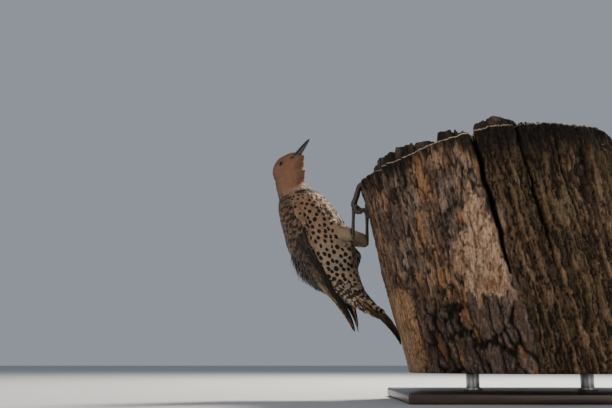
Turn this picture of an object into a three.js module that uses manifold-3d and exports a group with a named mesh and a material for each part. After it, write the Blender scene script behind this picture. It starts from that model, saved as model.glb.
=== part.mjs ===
// A northern flicker, a ground-feeding woodpecker, clinging to a short cut length of an old trunk,
// which two rods hold over a flat base. Millimetres, +Z up. The origin is the middle of the base's
// underside. The bird is built in its own frame: +x to its belly side, +y to its left, +z up.
import * as THREE from 'three';
import { mergeVertices } from 'three/addons/utils/BufferGeometryUtils.js';
import Module from 'manifold-3d';

const wasm = await Module();
wasm.setup();

// Driving dimensions
const clearance = 0.3;          // space kept between neighbouring solids
const birdPlace = { x: -235, y: 55 };   // the bird's frame, seen from the base's middle
const birdTurn = -27;           // degrees about Z, belly turned to the front of the trunk
const culmenLength = 29;        // bill from the forehead feathers to the tip
const eyeRadius = 4.1;
const tarsusRadius = 1.7;
const trunkRadius = 142;
const trunkLean = 13.4;         // degrees from upright, top towards the bird
const trunkBottom = 28;
const trunkTop = 262;           // mean height of the broken top
const baseLength = 280;
const baseWidth = 220;
const baseThickness = 10;
const rodRadius = 7;
const rodSpacing = 120;

const degrees = Math.PI / 180;
const vec = (x, y, z) => new THREE.Vector3(x, y, z);
const mix = (from, to, share) => from + (to - from) * share;
const birdMatrix = new THREE.Matrix4().makeRotationZ(birdTurn * degrees).setPosition(birdPlace.x, birdPlace.y, 0);

// ---------- closed solids ----------

function geometryFrom(points, faces) {
  const geometry = new THREE.BufferGeometry();
  geometry.setAttribute('position', new THREE.Float32BufferAttribute(points.flatMap((p) => [p.x, p.y, p.z]), 3));
  geometry.setIndex(faces);
  return geometry;
}

function signedVolume(points, faces) {
  let sum = 0;
  for (let i = 0; i < faces.length; i += 3) {
    const [a, b, c] = [points[faces[i]], points[faces[i + 1]], points[faces[i + 2]]];
    sum += a.dot(vec(0, 0, 0).crossVectors(b, c));
  }
  return sum / 6;
}

// A skin over a row of rings, closed by a fan at each end
function loft(rings) {
  const sides = rings[0].length;
  const points = rings.flat();
  const faces = [];
  for (let i = 0; i < rings.length - 1; i += 1) {
    for (let k = 0; k < sides; k += 1) {
      const a = i * sides + k;
      const b = i * sides + ((k + 1) % sides);
      faces.push(a, b, b + sides, a, b + sides, a + sides);
    }
  }
  const last = (rings.length - 1) * sides;
  const middle = (ring) => ring.reduce((sum, p) => sum.add(p), vec(0, 0, 0)).divideScalar(sides);
  points.push(middle(rings[0]), middle(rings[rings.length - 1]));
  for (let k = 0; k < sides; k += 1) {
    const next = (k + 1) % sides;
    faces.push(next, k, points.length - 2, last + k, last + next, points.length - 1);
  }
  if (signedVolume(points, faces) < 0) faces.reverse();
  return geometryFrom(points, faces);
}

// A tube along a curve. Girth holds, at the same places, the half sizes up, down and across.
// The section's up direction is square to the path and to the side direction.
function sweep(path, girth, { side = vec(0, 1, 0), sides = 24, steps = 24, grow = 0, pinch = 1 } = {}) {
  const rings = [];
  for (let i = 0; i <= steps; i += 1) {
    const t = i / steps;
    const centre = path.getPoint(t);
    const size = girth.getPoint(t);
    const along = path.getTangent(t);
    const up = vec(0, 0, 0).crossVectors(side, along).normalize();
    const across = vec(0, 0, 0).crossVectors(along, up).normalize();
    if (grow > 0 && i === 0) centre.addScaledVector(along, -grow);
    if (grow > 0 && i === steps) centre.addScaledVector(along, grow);
    const ring = [];
    for (let k = 0; k < sides; k += 1) {
      const turn = (2 * Math.PI * k) / sides;
      const c = Math.cos(turn);
      const s = Math.sin(turn);
      const high = (c > 0 ? size.x : size.y) + grow;
      const wide = (size.z + grow) * Math.sign(s) * Math.abs(s) ** pinch;
      ring.push(centre.clone().addScaledVector(up, high * c).addScaledVector(across, wide));
    }
    rings.push(ring);
  }
  return loft(rings);
}

const curve = (rows) => new THREE.CatmullRomCurve3(rows.map(([x, y, z]) => vec(x, y, z)), false, 'catmullrom', 0.5);

// Rows of x, y, z of the middle, then the half sizes up, down and across
function sweepRows(rows, options) {
  return sweep(curve(rows), curve(rows.map((row) => row.slice(3))), options);
}

// ---------- joins and cuts ----------

function solid(geometry) {
  const bare = geometry.clone();
  bare.deleteAttribute('normal');
  bare.deleteAttribute('uv');
  const merged = mergeVertices(bare, 1e-4);
  return new wasm.Manifold(new wasm.Mesh({
    numProp: 3,
    vertProperties: new Float32Array(merged.attributes.position.array),
    triVerts: new Uint32Array(merged.index.array),
  }));
}

function geometryOf(manifold) {
  const mesh = manifold.getMesh();
  const geometry = new THREE.BufferGeometry();
  geometry.setAttribute('position', new THREE.BufferAttribute(new Float32Array(mesh.vertProperties), 3));
  geometry.setIndex(new THREE.BufferAttribute(new Uint32Array(mesh.triVerts), 1));
  return geometry;
}

// The room a piece needs: itself and its clearance. Make takes the growth and gives the geometry.
const roomFor = (make) => solid(make(clearance)).add(solid(make(0)));
const largest = (manifold) => manifold.decompose().sort((a, b) => b.volume() - a.volume())[0];
const without = (whole, cutters) => cutters.reduce((rest, cutter) => rest.subtract(cutter), whole);

// All of space on one side of a plane, as a great box
function beyond(point, normal, offset) {
  const reach = 600;
  const box = new THREE.BoxGeometry(reach, reach, reach);
  const turn = new THREE.Quaternion().setFromUnitVectors(vec(0, 0, 1), normal.clone().normalize());
  const centre = point.clone().addScaledVector(normal.clone().normalize(), offset + reach / 2);
  box.applyQuaternion(turn);
  box.translate(centre.x, centre.y, centre.z);
  return solid(box);
}

// ---------- the trunk ----------

const leanSlope = Math.tan(trunkLean * degrees);
const trunkAxisX = (z) => -34 + (219 - z) * leanSlope;

// The outline's distance from the axis: broad facets, a hollow behind the left edge, a flared foot
function trunkReach(turn, z) {
  const facets = 2.6 * Math.sin(3 * turn + 0.7) + 1.8 * Math.sin(7 * turn + 2.1) + 1.1 * Math.sin(13 * turn + 0.4);
  const fromHollow = (turn / degrees - 161) / 12;
  const hollow = -9 * Math.exp(-fromHollow * fromHollow);
  const swell = 1.2 * Math.sin(z / 23 + 3 * turn);
  return trunkRadius + facets * 0.8 + hollow + swell;
}

// The height of the broken bark rim round the top, by direction in degrees
const rimHeights = [[0, 265], [45, 264], [90, 256], [130, 238], [158, 231], [180, 230], [192, 228.5],
  [209, 232], [230, 242], [247, 250.5], [262, 257.5], [280, 261], [300, 263], [329, 272], [360, 265]];
// and of the bare wood that stands up inside it
const woodHeights = [[0, 266], [90, 264], [150, 256], [190, 250], [207, 251], [238, 251], [241, 259.5],
  [249, 259.5], [252, 256], [258, 264], [270, 269], [282, 264.5], [300, 266], [329, 274], [360, 266]];

function heightAt(heights, turn) {
  const place = ((turn / degrees) % 360 + 360) % 360;
  const next = heights.findIndex(([at]) => at > place);
  const [fromTurn, fromHeight] = heights[next - 1];
  const [toTurn, toHeight] = heights[next];
  return mix(fromHeight, toHeight, (place - fromTurn) / (toTurn - fromTurn));
}
const rimHeight = (turn) => heightAt(rimHeights, turn) + 1.2 * Math.sin(9 * turn) * Math.sin(5 * turn + 1);
const woodHeight = (turn, share) => mix(trunkTop, heightAt(woodHeights, turn), share) + Math.sin(7 * turn + 9 * share);

function trunkPoint(turn, z, reach) {
  return vec(trunkAxisX(z) + reach * Math.cos(turn), reach * Math.sin(turn), z);
}

// Moves a point of the bird's frame straight out from the trunk's axis, to stand off its side:
// only where it is nearer than that and below the rim, unless it has to lie exactly there
function moveOffTrunk(point, standOff, exactly) {
  const there = point.clone().applyMatrix4(birdMatrix);
  const out = vec(there.x - trunkAxisX(there.z), there.y, 0);
  const turn = Math.atan2(out.y, out.x);
  const wanted = trunkReach(turn, there.z) + standOff;
  const leave = out.length() >= wanted || there.z > rimHeight(turn);
  if (leave && !exactly) return point.clone();
  out.setLength(wanted);
  return vec(trunkAxisX(there.z) + out.x, out.y, there.z).applyMatrix4(birdMatrix.clone().invert());
}

function trunkGeometry() {
  const sides = 44;
  const wallSteps = 4;
  const rings = [];
  for (let i = 0; i <= wallSteps; i += 1) {
    rings.push(Array.from({ length: sides }, (_, k) => {
      const turn = (2 * Math.PI * k) / sides;
      const z = mix(trunkBottom, rimHeight(turn), i / wallSteps);
      return trunkPoint(turn, z, trunkReach(turn, z));
    }));
  }
  // over the broken top: a ledge of bark, a step up to the bare wood, then the uneven heart
  const topRows = [[1, 0.1], [0.96, 0.9], [0.7, 1], [0.4, 1], [0.1, 1]];
  for (const [share, rise] of topRows) {
    rings.push(Array.from({ length: sides }, (_, k) => {
      const turn = (2 * Math.PI * k) / sides;
      const fromLedge = (turn / degrees - 186) / 24;
      const ledge = 0.93 - 0.07 * Math.exp(-fromLedge * fromLedge);
      const rim = rimHeight(turn);
      const z = mix(rim, Math.max(rim, woodHeight(turn, share)), rise);
      return trunkPoint(turn, z, trunkReach(turn, rim) * share * ledge);
    }));
  }
  return loft(rings);
}

// ---------- the bird's body ----------

// Rows along the body's middle line: x, y, z, then the half sizes to the back, to the belly and across
const bodyRows = [
  [-24.5, -5, 264, 7, 15, 8],
  [-22.5, -4, 252, 15, 20.5, 15.5],
  [-20.5, -2, 241, 16.5, 17.5, 17],
  [-15, 0, 229.5, 20, 20.5, 20.5],
  [-4.5, 0, 216, 26.5, 26, 27],
  [5, 0, 201, 30.5, 30.5, 31.5],
  [12, 0, 184, 32.5, 35.5, 33.5],
  [19, 0, 164, 33, 36.5, 33.5],
  [27, 0, 146, 31, 35, 31],
  [39, 0, 129, 23, 28, 26],
  [52, 0, 115, 14, 20, 20],
  [66, 0, 103, 7.5, 12, 15],
  [80, 0, 92.5, 4, 7, 12],
  [90, 0, 85, 2, 3.5, 9],
];

// The head's own frame: +x along the bill, +y to its left, +z to the crown
const headPlace = vec(-19.7, -5.6, 262.5);
const headTurn = new THREE.Euler(14.6 * degrees, -37.5 * degrees, -24.2 * degrees, 'ZYX');
const headMatrix = new THREE.Matrix4().makeRotationFromEuler(headTurn).setPosition(headPlace);
const inHead = (geometry) => geometry.applyMatrix4(headMatrix);

const headRows = [
  [-25, 0, 0, 3, 3, 3],
  [-23, 0, 0, 9, 8, 8.5],
  [-18, 0, 0, 13.2, 15, 12],
  [-9, 0, 0, 15, 18, 13.8],
  [1, 0, 0, 14, 16.8, 13.6],
  [8, 0, -0.5, 11.5, 13.2, 11.3],
  [14, 0, -1.5, 7.6, 11, 8],
  [19, 0, -3, 3.9, 7.6, 5.6],
  [24.5, 0, -4.6, 0.8, 3.2, 3],
];

const billStart = 17;
const billTip = billStart + culmenLength;
const upperBillRows = [
  [billStart - 5, 0, 0.2, 3.2, 0.5, 4.1],
  [billStart, 0, 0, 3.1, 0.5, 4.2],
  [billStart + 9, 0, -0.6, 2.8, 0.5, 3.3],
  [billStart + 18, 0, -1.2, 2.1, 0.5, 2.4],
  [billStart + 25, 0, -1.8, 1.3, 0.5, 1.5],
  [billTip, 0, -2.6, 0.35, 0.3, 0.5],
];
const lowerBillRows = [
  [billStart - 5, 0, -2, 0.8, 3, 3.8],
  [billStart, 0, -2.1, 0.9, 3.2, 3.9],
  [billStart + 9, 0, -2.3, 0.9, 2.6, 3],
  [billStart + 17, 0, -2.7, 0.7, 1.7, 2.1],
  [billStart + 23, 0, -3, 0.4, 0.9, 1.2],
  [billTip - 2.5, 0, -3.1, 0.2, 0.35, 0.4],
];
const eyePlace = { x: 2, y: 9.6, z: 3 };

// ---------- wings and tail ----------

// Three lines run down each folded wing: its edge over the flank, its crest and its edge on the back.
// Each row: height, then x and distance from the middle for each line.
const wingRows = [
  [226, [-9, 21.5], [-14, 21.5], [-18, 19.5]],
  [219, [0, 30], [-14, 29], [-24, 20]],
  [203, [12, 34.5], [-9.5, 34.5], [-24, 19]],
  [184, [20, 36.5], [-2.5, 37], [-19.5, 17]],
  [166, [25.5, 36.5], [3, 37], [-14.5, 16.5]],
  [153, [30.5, 34], [12, 35.5], [-6, 16]],
  [139, [35, 29.5], [22, 31.5], [6.5, 15.5]],
  [125, [40.5, 24], [31, 26], [18, 14.5]],
  [104, [51, 15], [45.5, 17.5], [38, 10.5]],
  [86, [58.5, 8.5], [55.5, 10], [50, 5.5]],
  [70, [63, 4.6], [62.4, 5], [61, 3.4]],
];
const wingPart = { coverts: [0, 0.66], primaries: [0.67, 1] };

function wingGeometry(sign, [from, to], grow) {
  const line = (pick) => curve(wingRows.map((row) => [row[pick][0], sign * row[pick][1], row[0]]));
  const [flank, crest, back] = [line(1), line(2), line(3)];
  const acrossSteps = 5;
  const downSteps = Math.round(15 * (to - from));
  const middleOf = (t, u) => {
    // a parabola through the three lines' points at this place
    const sum = flank.getPoint(t).multiplyScalar((1 - u) * (1 - 2 * u));
    sum.addScaledVector(crest.getPoint(t), 4 * u * (1 - u));
    return sum.addScaledVector(back.getPoint(t), u * (2 * u - 1));
  };
  const nudge = 0.01;
  const rings = [];
  for (let i = 0; i <= downSteps; i += 1) {
    let t = mix(from, to, i / downSteps);
    const outside = [];
    const inside = [];
    for (let k = 0; k <= acrossSteps; k += 1) {
      const u = k / acrossSteps;
      const down = middleOf(Math.min(t + nudge, 1), u).sub(middleOf(Math.max(t - nudge, 0), u));
      const over = middleOf(t, Math.min(u + nudge, 1)).sub(middleOf(t, Math.max(u - nudge, 0)));
      const normal = vec(0, 0, 0).crossVectors(down, over).normalize();
      if (normal.y * sign < 0) normal.negate();
      const swell = Math.sin(Math.PI * Math.min(1, Math.max(0, u)));
      const thick = 1 + (1 - t) * 4.5 * swell;
      const place = middleOf(t, u);
      const edge = k === 0 ? -grow : k === acrossSteps ? grow : 0;
      place.addScaledVector(over.normalize(), edge);
      if (i === 0) place.addScaledVector(down.clone().normalize(), -grow);
      if (i === downSteps) place.addScaledVector(down.clone().normalize(), grow);
      outside.push(place.clone().addScaledVector(normal, grow));
      inside.push(place.clone().addScaledVector(normal, -thick - grow));
    }
    rings.push([...outside, ...inside.reverse()]);
  }
  return loft(rings);
}

// The tail: a stiff blade, bent where its tips press on the trunk, with pointed feather ends
const tailRows = [
  [44, 0, 126, 1.6, 1.6, 9],
  [60, 0, 113.5, 2, 2, 13],
  [78, 0, 99, 1.9, 1.9, 16.5],
  [94, -0.5, 85, 1.6, 1.6, 18.5],
  [105.5, -1, 72.5, 1.2, 1.2, 17],
  [112.2, -2, 62.5, 0.8, 0.8, 11],
  [114.6, -2.5, 56.5, 0.5, 0.5, 3.5],
];

// ---------- legs and feet ----------

const sideSigns = { right: -1, left: 1 };
// heel and toe joint of each leg, in the bird's frame
const legs = {
  right: { heel: vec(65, -15.4, 174.5), ball: vec(66.6, -15, 210), hip: vec(26, -14, 186) },
  left: { heel: vec(67.6, 18.4, 172), ball: vec(68.4, 18, 205.5), hip: vec(30, 15, 180) },
};

// Feathered down to the heel; sizes run down, up and across
function thighRows(leg) {
  const { hip, heel } = leg;
  const at = (share, lift) => [mix(hip.x, heel.x, share), mix(hip.y, heel.y, Math.min(1, 1.3 * share)), mix(hip.z, heel.z, share) + lift];
  return [
    [...at(0, 0), 12, 13, 9],
    [...at(0.45, 1.5), 10, 11, 9],
    [...at(0.78, 1), 9, 9, 7.5],
    [...at(0.97, 1), 8, 7.2, 6],
    [...at(1.03, 2), 3, 3.2, 3],
  ];
}

// Each toe from the ball of the foot to the root of its claw, before it is laid on the trunk
const toePaths = {
  right: {
    toe_front_outer: [vec(66.6, -15.5, 210), vec(70.8, -16, 220.5), vec(75.8, -17, 228.6), vec(82.5, -18, 234.2)],
    toe_front_inner: [vec(66.8, -14.2, 210), vec(69.8, -12, 220.5), vec(73.2, -9.5, 228.6), vec(78, -8, 234)],
    toe_rear_outer: [vec(66.6, -15.8, 209.6), vec(69.3, -18, 204.5), vec(73, -20, 200), vec(78, -20.5, 199.6)],
    toe_rear_inner: [vec(66.8, -14, 209.4), vec(69.5, -11.5, 206), vec(73, -10.5, 203.5), vec(77, -10.5, 203.4)],
  },
  left: {
    toe_front_outer: [vec(68.4, 18.6, 205.5), vec(71.5, 21, 212.5), vec(74.6, 23, 220.5), vec(75, 24, 228.5)],
    toe_front_inner: [vec(68.4, 17.4, 205.5), vec(70.5, 14, 212.5), vec(71.5, 11.5, 220), vec(71, 10.5, 226.5)],
    toe_rear_outer: [vec(68.4, 18.8, 205.1), vec(72, 21.5, 200.5), vec(76.5, 24, 197.5), vec(80, 25, 196.5)],
    toe_rear_inner: [vec(68.4, 17.2, 205), vec(71, 14.5, 202), vec(74.5, 13, 199.5), vec(77.5, 12.5, 199.5)],
  },
};
const clawReach = 7;      // from a claw's root to its tip
const toeWidths = [1.7, 1.5, 1.4, 1.25];

// A toe keeps its own half thickness off the bark where it would sink in, unless it is over the rim
function layOnTrunk(points) {
  return points.map((point, i) => moveOffTrunk(point, toeWidths[i] + clearance, false));
}

// A claw arches up off the toe's end, then down to the bark, or to the top where the toe is over the rim
function clawPath(toe) {
  const root = toe[toe.length - 1];
  const ahead = root.clone().sub(toe[toe.length - 2]).normalize();
  const inward = moveOffTrunk(root, 0, true).sub(root);
  const overRim = root.z > rimHeight(Math.PI);
  const down = overRim ? vec(0.35, 0, -1) : inward.normalize();
  const bend = root.clone().addScaledVector(ahead, clawReach * 0.5).addScaledVector(down, overRim ? 0.4 : -0.3);
  const tip = root.clone().addScaledVector(ahead, clawReach * 0.72).addScaledVector(down, overRim ? 3.4 : 2);
  return [bend, overRim ? tip : moveOffTrunk(tip, -0.4, true)];
}

const toes = { right: {}, left: {} };
const claws = { right: {}, left: {} };
for (const [side, paths] of Object.entries(toePaths)) {
  for (const [toe, points] of Object.entries(paths)) {
    toes[side][toe] = layOnTrunk(points);
    claws[side][toe] = clawPath(toes[side][toe]);
  }
}

function toeGeometry(points, grow) {
  const rows = points.map((p, i) => [p.x, p.y, p.z, toeWidths[i], toeWidths[i], toeWidths[i]]);
  return sweepRows(rows, { sides: 6, steps: 6, grow });
}

function clawGeometry(toe, [bend, tip], grow) {
  const start = toe[toe.length - 1];
  const back = start.clone().lerp(toe[toe.length - 2], 0.12);
  const rows = [
    [back.x, back.y, back.z, 0.8, 0.8, 0.6],
    [start.x, start.y, start.z, 1.1, 1.2, 0.85],
    [bend.x, bend.y, bend.z, 0.85, 0.9, 0.65],
    [tip.x, tip.y, tip.z, 0.28, 0.28, 0.26],
  ];
  return sweepRows(rows, { sides: 5, steps: 4, grow });
}

// ---------- the bird ----------

const bodySweep = (grow) => sweepRows(bodyRows, { sides: 18, steps: 18, grow });
const headSweep = (grow) => inHead(sweepRows(headRows, { sides: 16, steps: 12, grow }));
const upperBill = (grow) => inHead(sweepRows(upperBillRows, { sides: 10, steps: 8, grow }));
const lowerBill = (grow) => inHead(sweepRows(lowerBillRows, { sides: 10, steps: 7, grow }));
const tail = (grow) => sweepRows(tailRows, { sides: 10, steps: 10, grow });

function eyeball(sign, grow) {
  const ball = new THREE.IcosahedronGeometry(eyeRadius + grow, 2);
  ball.translate(eyePlace.x, sign * eyePlace.y, eyePlace.z);
  return inHead(ball);
}

const headCut = { point: vec(-21.5, -3.5, 248.5), normal: vec(0.12, -0.1, 1) };
const neckCut = { point: vec(-10.5, 0, 226), normal: vec(-0.62, 0, 0.78) };

function birdSolids() {
  const pieces = {};
  const name = (part, side) => `${part}_${side}`;
  const cutters = [];
  for (const [side, sign] of Object.entries(sideSigns)) {
    for (const [part, range] of Object.entries(wingPart)) {
      const wing = (grow) => wingGeometry(sign, range, grow);
      pieces[name(part === 'coverts' ? 'wing' : 'primaries', side)] = solid(wing(0));
      cutters.push(roomFor(wing));
    }
    const thigh = (grow) => sweepRows(thighRows(legs[side]), { sides: 10, steps: 6, grow });
    pieces[name('thigh', side)] = solid(thigh(0));
    cutters.push(roomFor(thigh));
  }
  pieces.tail = solid(tail(0));
  cutters.push(roomFor(tail));

  const eye = { left: (grow) => eyeball(1, grow), right: (grow) => eyeball(-1, grow) };
  const headHollows = [upperBill, lowerBill, eye.left, eye.right].map(roomFor);
  const flesh = solid(bodySweep(0)).add(solid(headSweep(0)));
  const half = clearance / 2;
  const aboveHead = beyond(headCut.point, headCut.normal, half);
  const belowHead = beyond(headCut.point, headCut.normal.clone().negate(), half);
  const aboveNeck = beyond(neckCut.point, neckCut.normal, half);
  const belowNeck = beyond(neckCut.point, neckCut.normal.clone().negate(), half);
  pieces.head = largest(without(flesh.intersect(aboveHead), headHollows));
  pieces.neck = largest(without(flesh.intersect(belowHead).intersect(aboveNeck), cutters));
  pieces.torso = largest(without(flesh.intersect(belowNeck), cutters));
  pieces.bill_upper = solid(upperBill(0));
  pieces.bill_lower = largest(solid(lowerBill(0)).subtract(roomFor(upperBill)));
  pieces.eye_left = solid(eye.left(0));
  pieces.eye_right = solid(eye.right(0));

  for (const side of Object.keys(sideSigns)) {
    const leg = legs[side];
    const tarsusRows = (grow) => sweepRows([
      [leg.heel.x - 1, leg.heel.y, leg.heel.z - 1, 1.2, 1.2, 1.2],
      [leg.heel.x, leg.heel.y, leg.heel.z + 1, 2.2, 2.2, 2],
      [mix(leg.heel.x, leg.ball.x, 0.5), leg.ball.y, mix(leg.heel.z, leg.ball.z, 0.5), tarsusRadius, tarsusRadius, 1.5],
      [leg.ball.x, leg.ball.y, leg.ball.z - 1.5, 2.1, 2.1, 2.2],
      [leg.ball.x + 0.4, leg.ball.y, leg.ball.z + 1.2, 1, 1, 1.2],
    ], { sides: 7, steps: 6, grow });
    pieces[name('tarsus', side)] = solid(tarsusRows(0));
    const taken = [roomFor(tarsusRows)];
    pieces[name('thigh', side)] = largest(without(pieces[name('thigh', side)], taken));
    for (const [toe, points] of Object.entries(toes[side])) {
      const toeRoom = roomFor((grow) => toeGeometry(points, grow));
      pieces[name(toe, side)] = largest(without(solid(toeGeometry(points, 0)), taken));
      taken.push(toeRoom);
      const claw = solid(clawGeometry(points, claws[side][toe], 0));
      pieces[name(toe.replace('toe', 'claw'), side)] = largest(claw.subtract(toeRoom));
    }
  }
  return pieces;
}

// ---------- colours and the scene graph ----------

const finishes = {
  feather: new THREE.MeshStandardMaterial({ color: 0x9c7a5c, roughness: 0.85, metalness: 0 }),
  flight: new THREE.MeshStandardMaterial({ color: 0x3c2f28, roughness: 0.7, metalness: 0 }),
  horn: new THREE.MeshStandardMaterial({ color: 0x3a3b40, roughness: 0.4, metalness: 0 }),
  scale: new THREE.MeshStandardMaterial({ color: 0x6a625c, roughness: 0.6, metalness: 0 }),
  eye: new THREE.MeshStandardMaterial({ color: 0x1a0e0c, roughness: 0.1, metalness: 0 }),
  bark: new THREE.MeshStandardMaterial({ color: 0x5d4837, roughness: 0.95, metalness: 0 }),
  standWood: new THREE.MeshStandardMaterial({ color: 0x2b211b, roughness: 0.45, metalness: 0 }),
  rod: new THREE.MeshStandardMaterial({ color: 0x9a9a9a, roughness: 0.35, metalness: 1 }),
};

function finishFor(name) {
  if (/^(primaries|tail)/.test(name)) return finishes.flight;
  if (/^(bill|claw)/.test(name)) return finishes.horn;
  if (/^(tarsus|toe)/.test(name)) return finishes.scale;
  if (/^eye/.test(name)) return finishes.eye;
  return finishes.feather;
}

const model = new THREE.Group();

function place(parent, name, geometry, material) {
  const mesh = new THREE.Mesh(geometry, material);
  mesh.name = name;
  parent.add(mesh);
}

const bird = new THREE.Group();
bird.position.set(birdPlace.x, birdPlace.y, 0);
bird.rotation.z = birdTurn * degrees;
model.add(bird);

const birdPieces = birdSolids();
for (const [name, piece] of Object.entries(birdPieces)) place(bird, name, geometryOf(piece), finishFor(name));

// The trunk gives way to the toes, the claws and the tail that grip or press on it
const grips = [tail];
for (const side of Object.keys(sideSigns)) {
  for (const [toe, points] of Object.entries(toes[side])) {
    grips.push((grow) => toeGeometry(points, grow), (grow) => clawGeometry(points, claws[side][toe], grow));
  }
}
const gripRooms = grips.map((make) => roomFor((grow) => make(grow).applyMatrix4(birdMatrix)));
const trunk = without(solid(trunkGeometry()), gripRooms);
place(model, 'perch_log', geometryOf(largest(trunk)), finishes.bark);

function baseGeometry() {
  const corner = 26;
  const chamfer = 2;
  const [x, y] = [baseLength / 2 - chamfer, baseWidth / 2 - chamfer];
  const outline = new THREE.Shape();
  outline.moveTo(-x + corner, -y);
  outline.lineTo(x - corner, -y);
  outline.absarc(x - corner, -y + corner, corner, -Math.PI / 2, 0);
  outline.absarc(x - corner, y - corner, corner, 0, Math.PI / 2);
  outline.absarc(-x + corner, y - corner, corner, Math.PI / 2, Math.PI);
  outline.absarc(-x + corner, -y + corner, corner, Math.PI, 1.5 * Math.PI);
  const geometry = new THREE.ExtrudeGeometry(outline, {
    depth: baseThickness - 2 * chamfer, bevelThickness: chamfer, bevelSize: chamfer, bevelSegments: 1, curveSegments: 4,
  });
  geometry.translate(0, 0, chamfer);
  return geometry;
}
place(model, 'stand_base', baseGeometry(), finishes.standWood);

for (const [index, sign] of [[1, -1], [2, 1]]) {
  const length = trunkBottom - baseThickness - 2 * clearance;
  const rod = new THREE.CylinderGeometry(rodRadius, rodRadius, length, 20);
  rod.rotateX(Math.PI / 2);
  rod.translate((sign * rodSpacing) / 2, 0, baseThickness + clearance + length / 2);
  place(model, `stand_rod_${index}`, rod, finishes.rod);
}

export default model;
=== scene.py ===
import bpy
import math
import numpy as np
from mathutils import Vector, Matrix, Euler, noise
from mathutils.bvhtree import BVHTree
from mathutils.kdtree import KDTree


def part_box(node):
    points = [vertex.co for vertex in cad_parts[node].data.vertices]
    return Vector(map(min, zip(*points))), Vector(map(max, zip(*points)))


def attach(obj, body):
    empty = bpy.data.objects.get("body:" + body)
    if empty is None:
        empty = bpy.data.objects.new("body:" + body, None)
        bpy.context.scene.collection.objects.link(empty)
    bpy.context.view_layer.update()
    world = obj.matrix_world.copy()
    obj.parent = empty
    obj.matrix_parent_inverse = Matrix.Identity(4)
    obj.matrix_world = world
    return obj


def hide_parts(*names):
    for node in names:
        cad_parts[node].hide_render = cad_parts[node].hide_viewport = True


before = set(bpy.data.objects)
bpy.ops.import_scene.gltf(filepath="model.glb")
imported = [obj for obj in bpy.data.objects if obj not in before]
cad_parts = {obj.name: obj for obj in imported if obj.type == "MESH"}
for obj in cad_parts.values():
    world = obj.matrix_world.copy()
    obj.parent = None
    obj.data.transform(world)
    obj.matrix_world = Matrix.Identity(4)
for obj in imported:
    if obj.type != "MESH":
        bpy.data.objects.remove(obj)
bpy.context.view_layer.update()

scene = bpy.context.scene
mm = 0.001

# the bird's own frame: +x to its belly side, +y to its left, +z up, in millimetres
birdPlace = np.array([-235.0, 55.0, 0.0])
birdTurn = math.radians(-27)
headPlace = Vector((-19.7, -5.6, 262.5))
headTurn = Matrix.Rotation(math.radians(-24.2), 3, "Z") @ Matrix.Rotation(math.radians(-37.5), 3, "Y") \
    @ Matrix.Rotation(math.radians(14.6), 3, "X")


def toPart(points):
    # bird frame in millimetres to the model's frame in metres
    p = np.asarray(points, dtype=float)
    c, s = math.cos(birdTurn), math.sin(birdTurn)
    x = p[..., 0] * c - p[..., 1] * s + birdPlace[0]
    y = p[..., 0] * s + p[..., 1] * c + birdPlace[1]
    return np.stack([x, y, p[..., 2]], axis=-1) * mm


def toBird(points):
    p = np.asarray(points, dtype=float) / mm - birdPlace
    c, s = math.cos(-birdTurn), math.sin(-birdTurn)
    return np.stack([p[..., 0] * c - p[..., 1] * s, p[..., 0] * s + p[..., 1] * c, p[..., 2]], axis=-1)


headAxes = np.array(headTurn)
headSpot = np.array(headPlace)


def inHead(points):
    return (np.asarray(points, dtype=float) - headSpot) @ headAxes


def fromHead(points):
    return np.asarray(points, dtype=float) @ headAxes.T + headSpot


def unit(v):
    return v / np.maximum(np.linalg.norm(v, axis=-1, keepdims=True), 1e-9)


def ramp(x, low, high):
    t = np.clip((x - low) / (high - low), 0, 1)
    return t * t * (3 - 2 * t)


def mix(a, b, t):
    return a + (b - a) * t


def curveThrough(rows, count):
    # Catmull-Rom through rows of numbers, sampled evenly from row to row
    rows = np.asarray(rows, dtype=float)
    padded = np.vstack([2 * rows[0] - rows[1], rows, 2 * rows[-1] - rows[-2]])
    t = np.linspace(0, len(rows) - 1, count)
    i = np.minimum(t.astype(int), len(rows) - 2)
    f = (t - i)[:, None]
    p0, p1, p2, p3 = padded[i], padded[i + 1], padded[i + 2], padded[i + 3]
    return 0.5 * (2 * p1 + (p2 - p0) * f + (2 * p0 - 5 * p1 + 4 * p2 - p3) * f ** 2
                  + (3 * p1 - p0 - 3 * p2 + p3) * f ** 3)


# ---- the camera, the floor and the light ----

cameraPlan = {
    "place": (-0.235, -0.945, 0.038),
    "upward": 10.2,      # degrees above level
    "lens": 51.97,
}


def makeCamera():
    data = bpy.data.cameras.new("viewCamera")
    data.lens = cameraPlan["lens"]
    data.sensor_width = 36
    data.clip_start = 0.01
    camera = bpy.data.objects.new("viewCamera", data)
    camera.location = cameraPlan["place"]
    camera.rotation_euler = (math.radians(90 + cameraPlan["upward"]), 0, 0)
    scene.collection.objects.link(camera)
    scene.camera = camera


lightPlan = {
    "sky": (0.52, 0.57, 0.66), "skyStrength": 0.56,
    "sunSide": {"place": (0.55, 1.0, 1.45), "size": 0.4, "power": 95, "color": (1.0, 0.90, 0.74)},
    "frontFill": {"place": (-1.3, -1.6, 0.9), "size": 1.8, "power": 13, "color": (1.0, 0.84, 0.68)},
    "lowFill": {"place": (0.7, -1.5, 0.35), "size": 1.2, "power": 7, "color": (1.0, 0.86, 0.72)},
}


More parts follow.
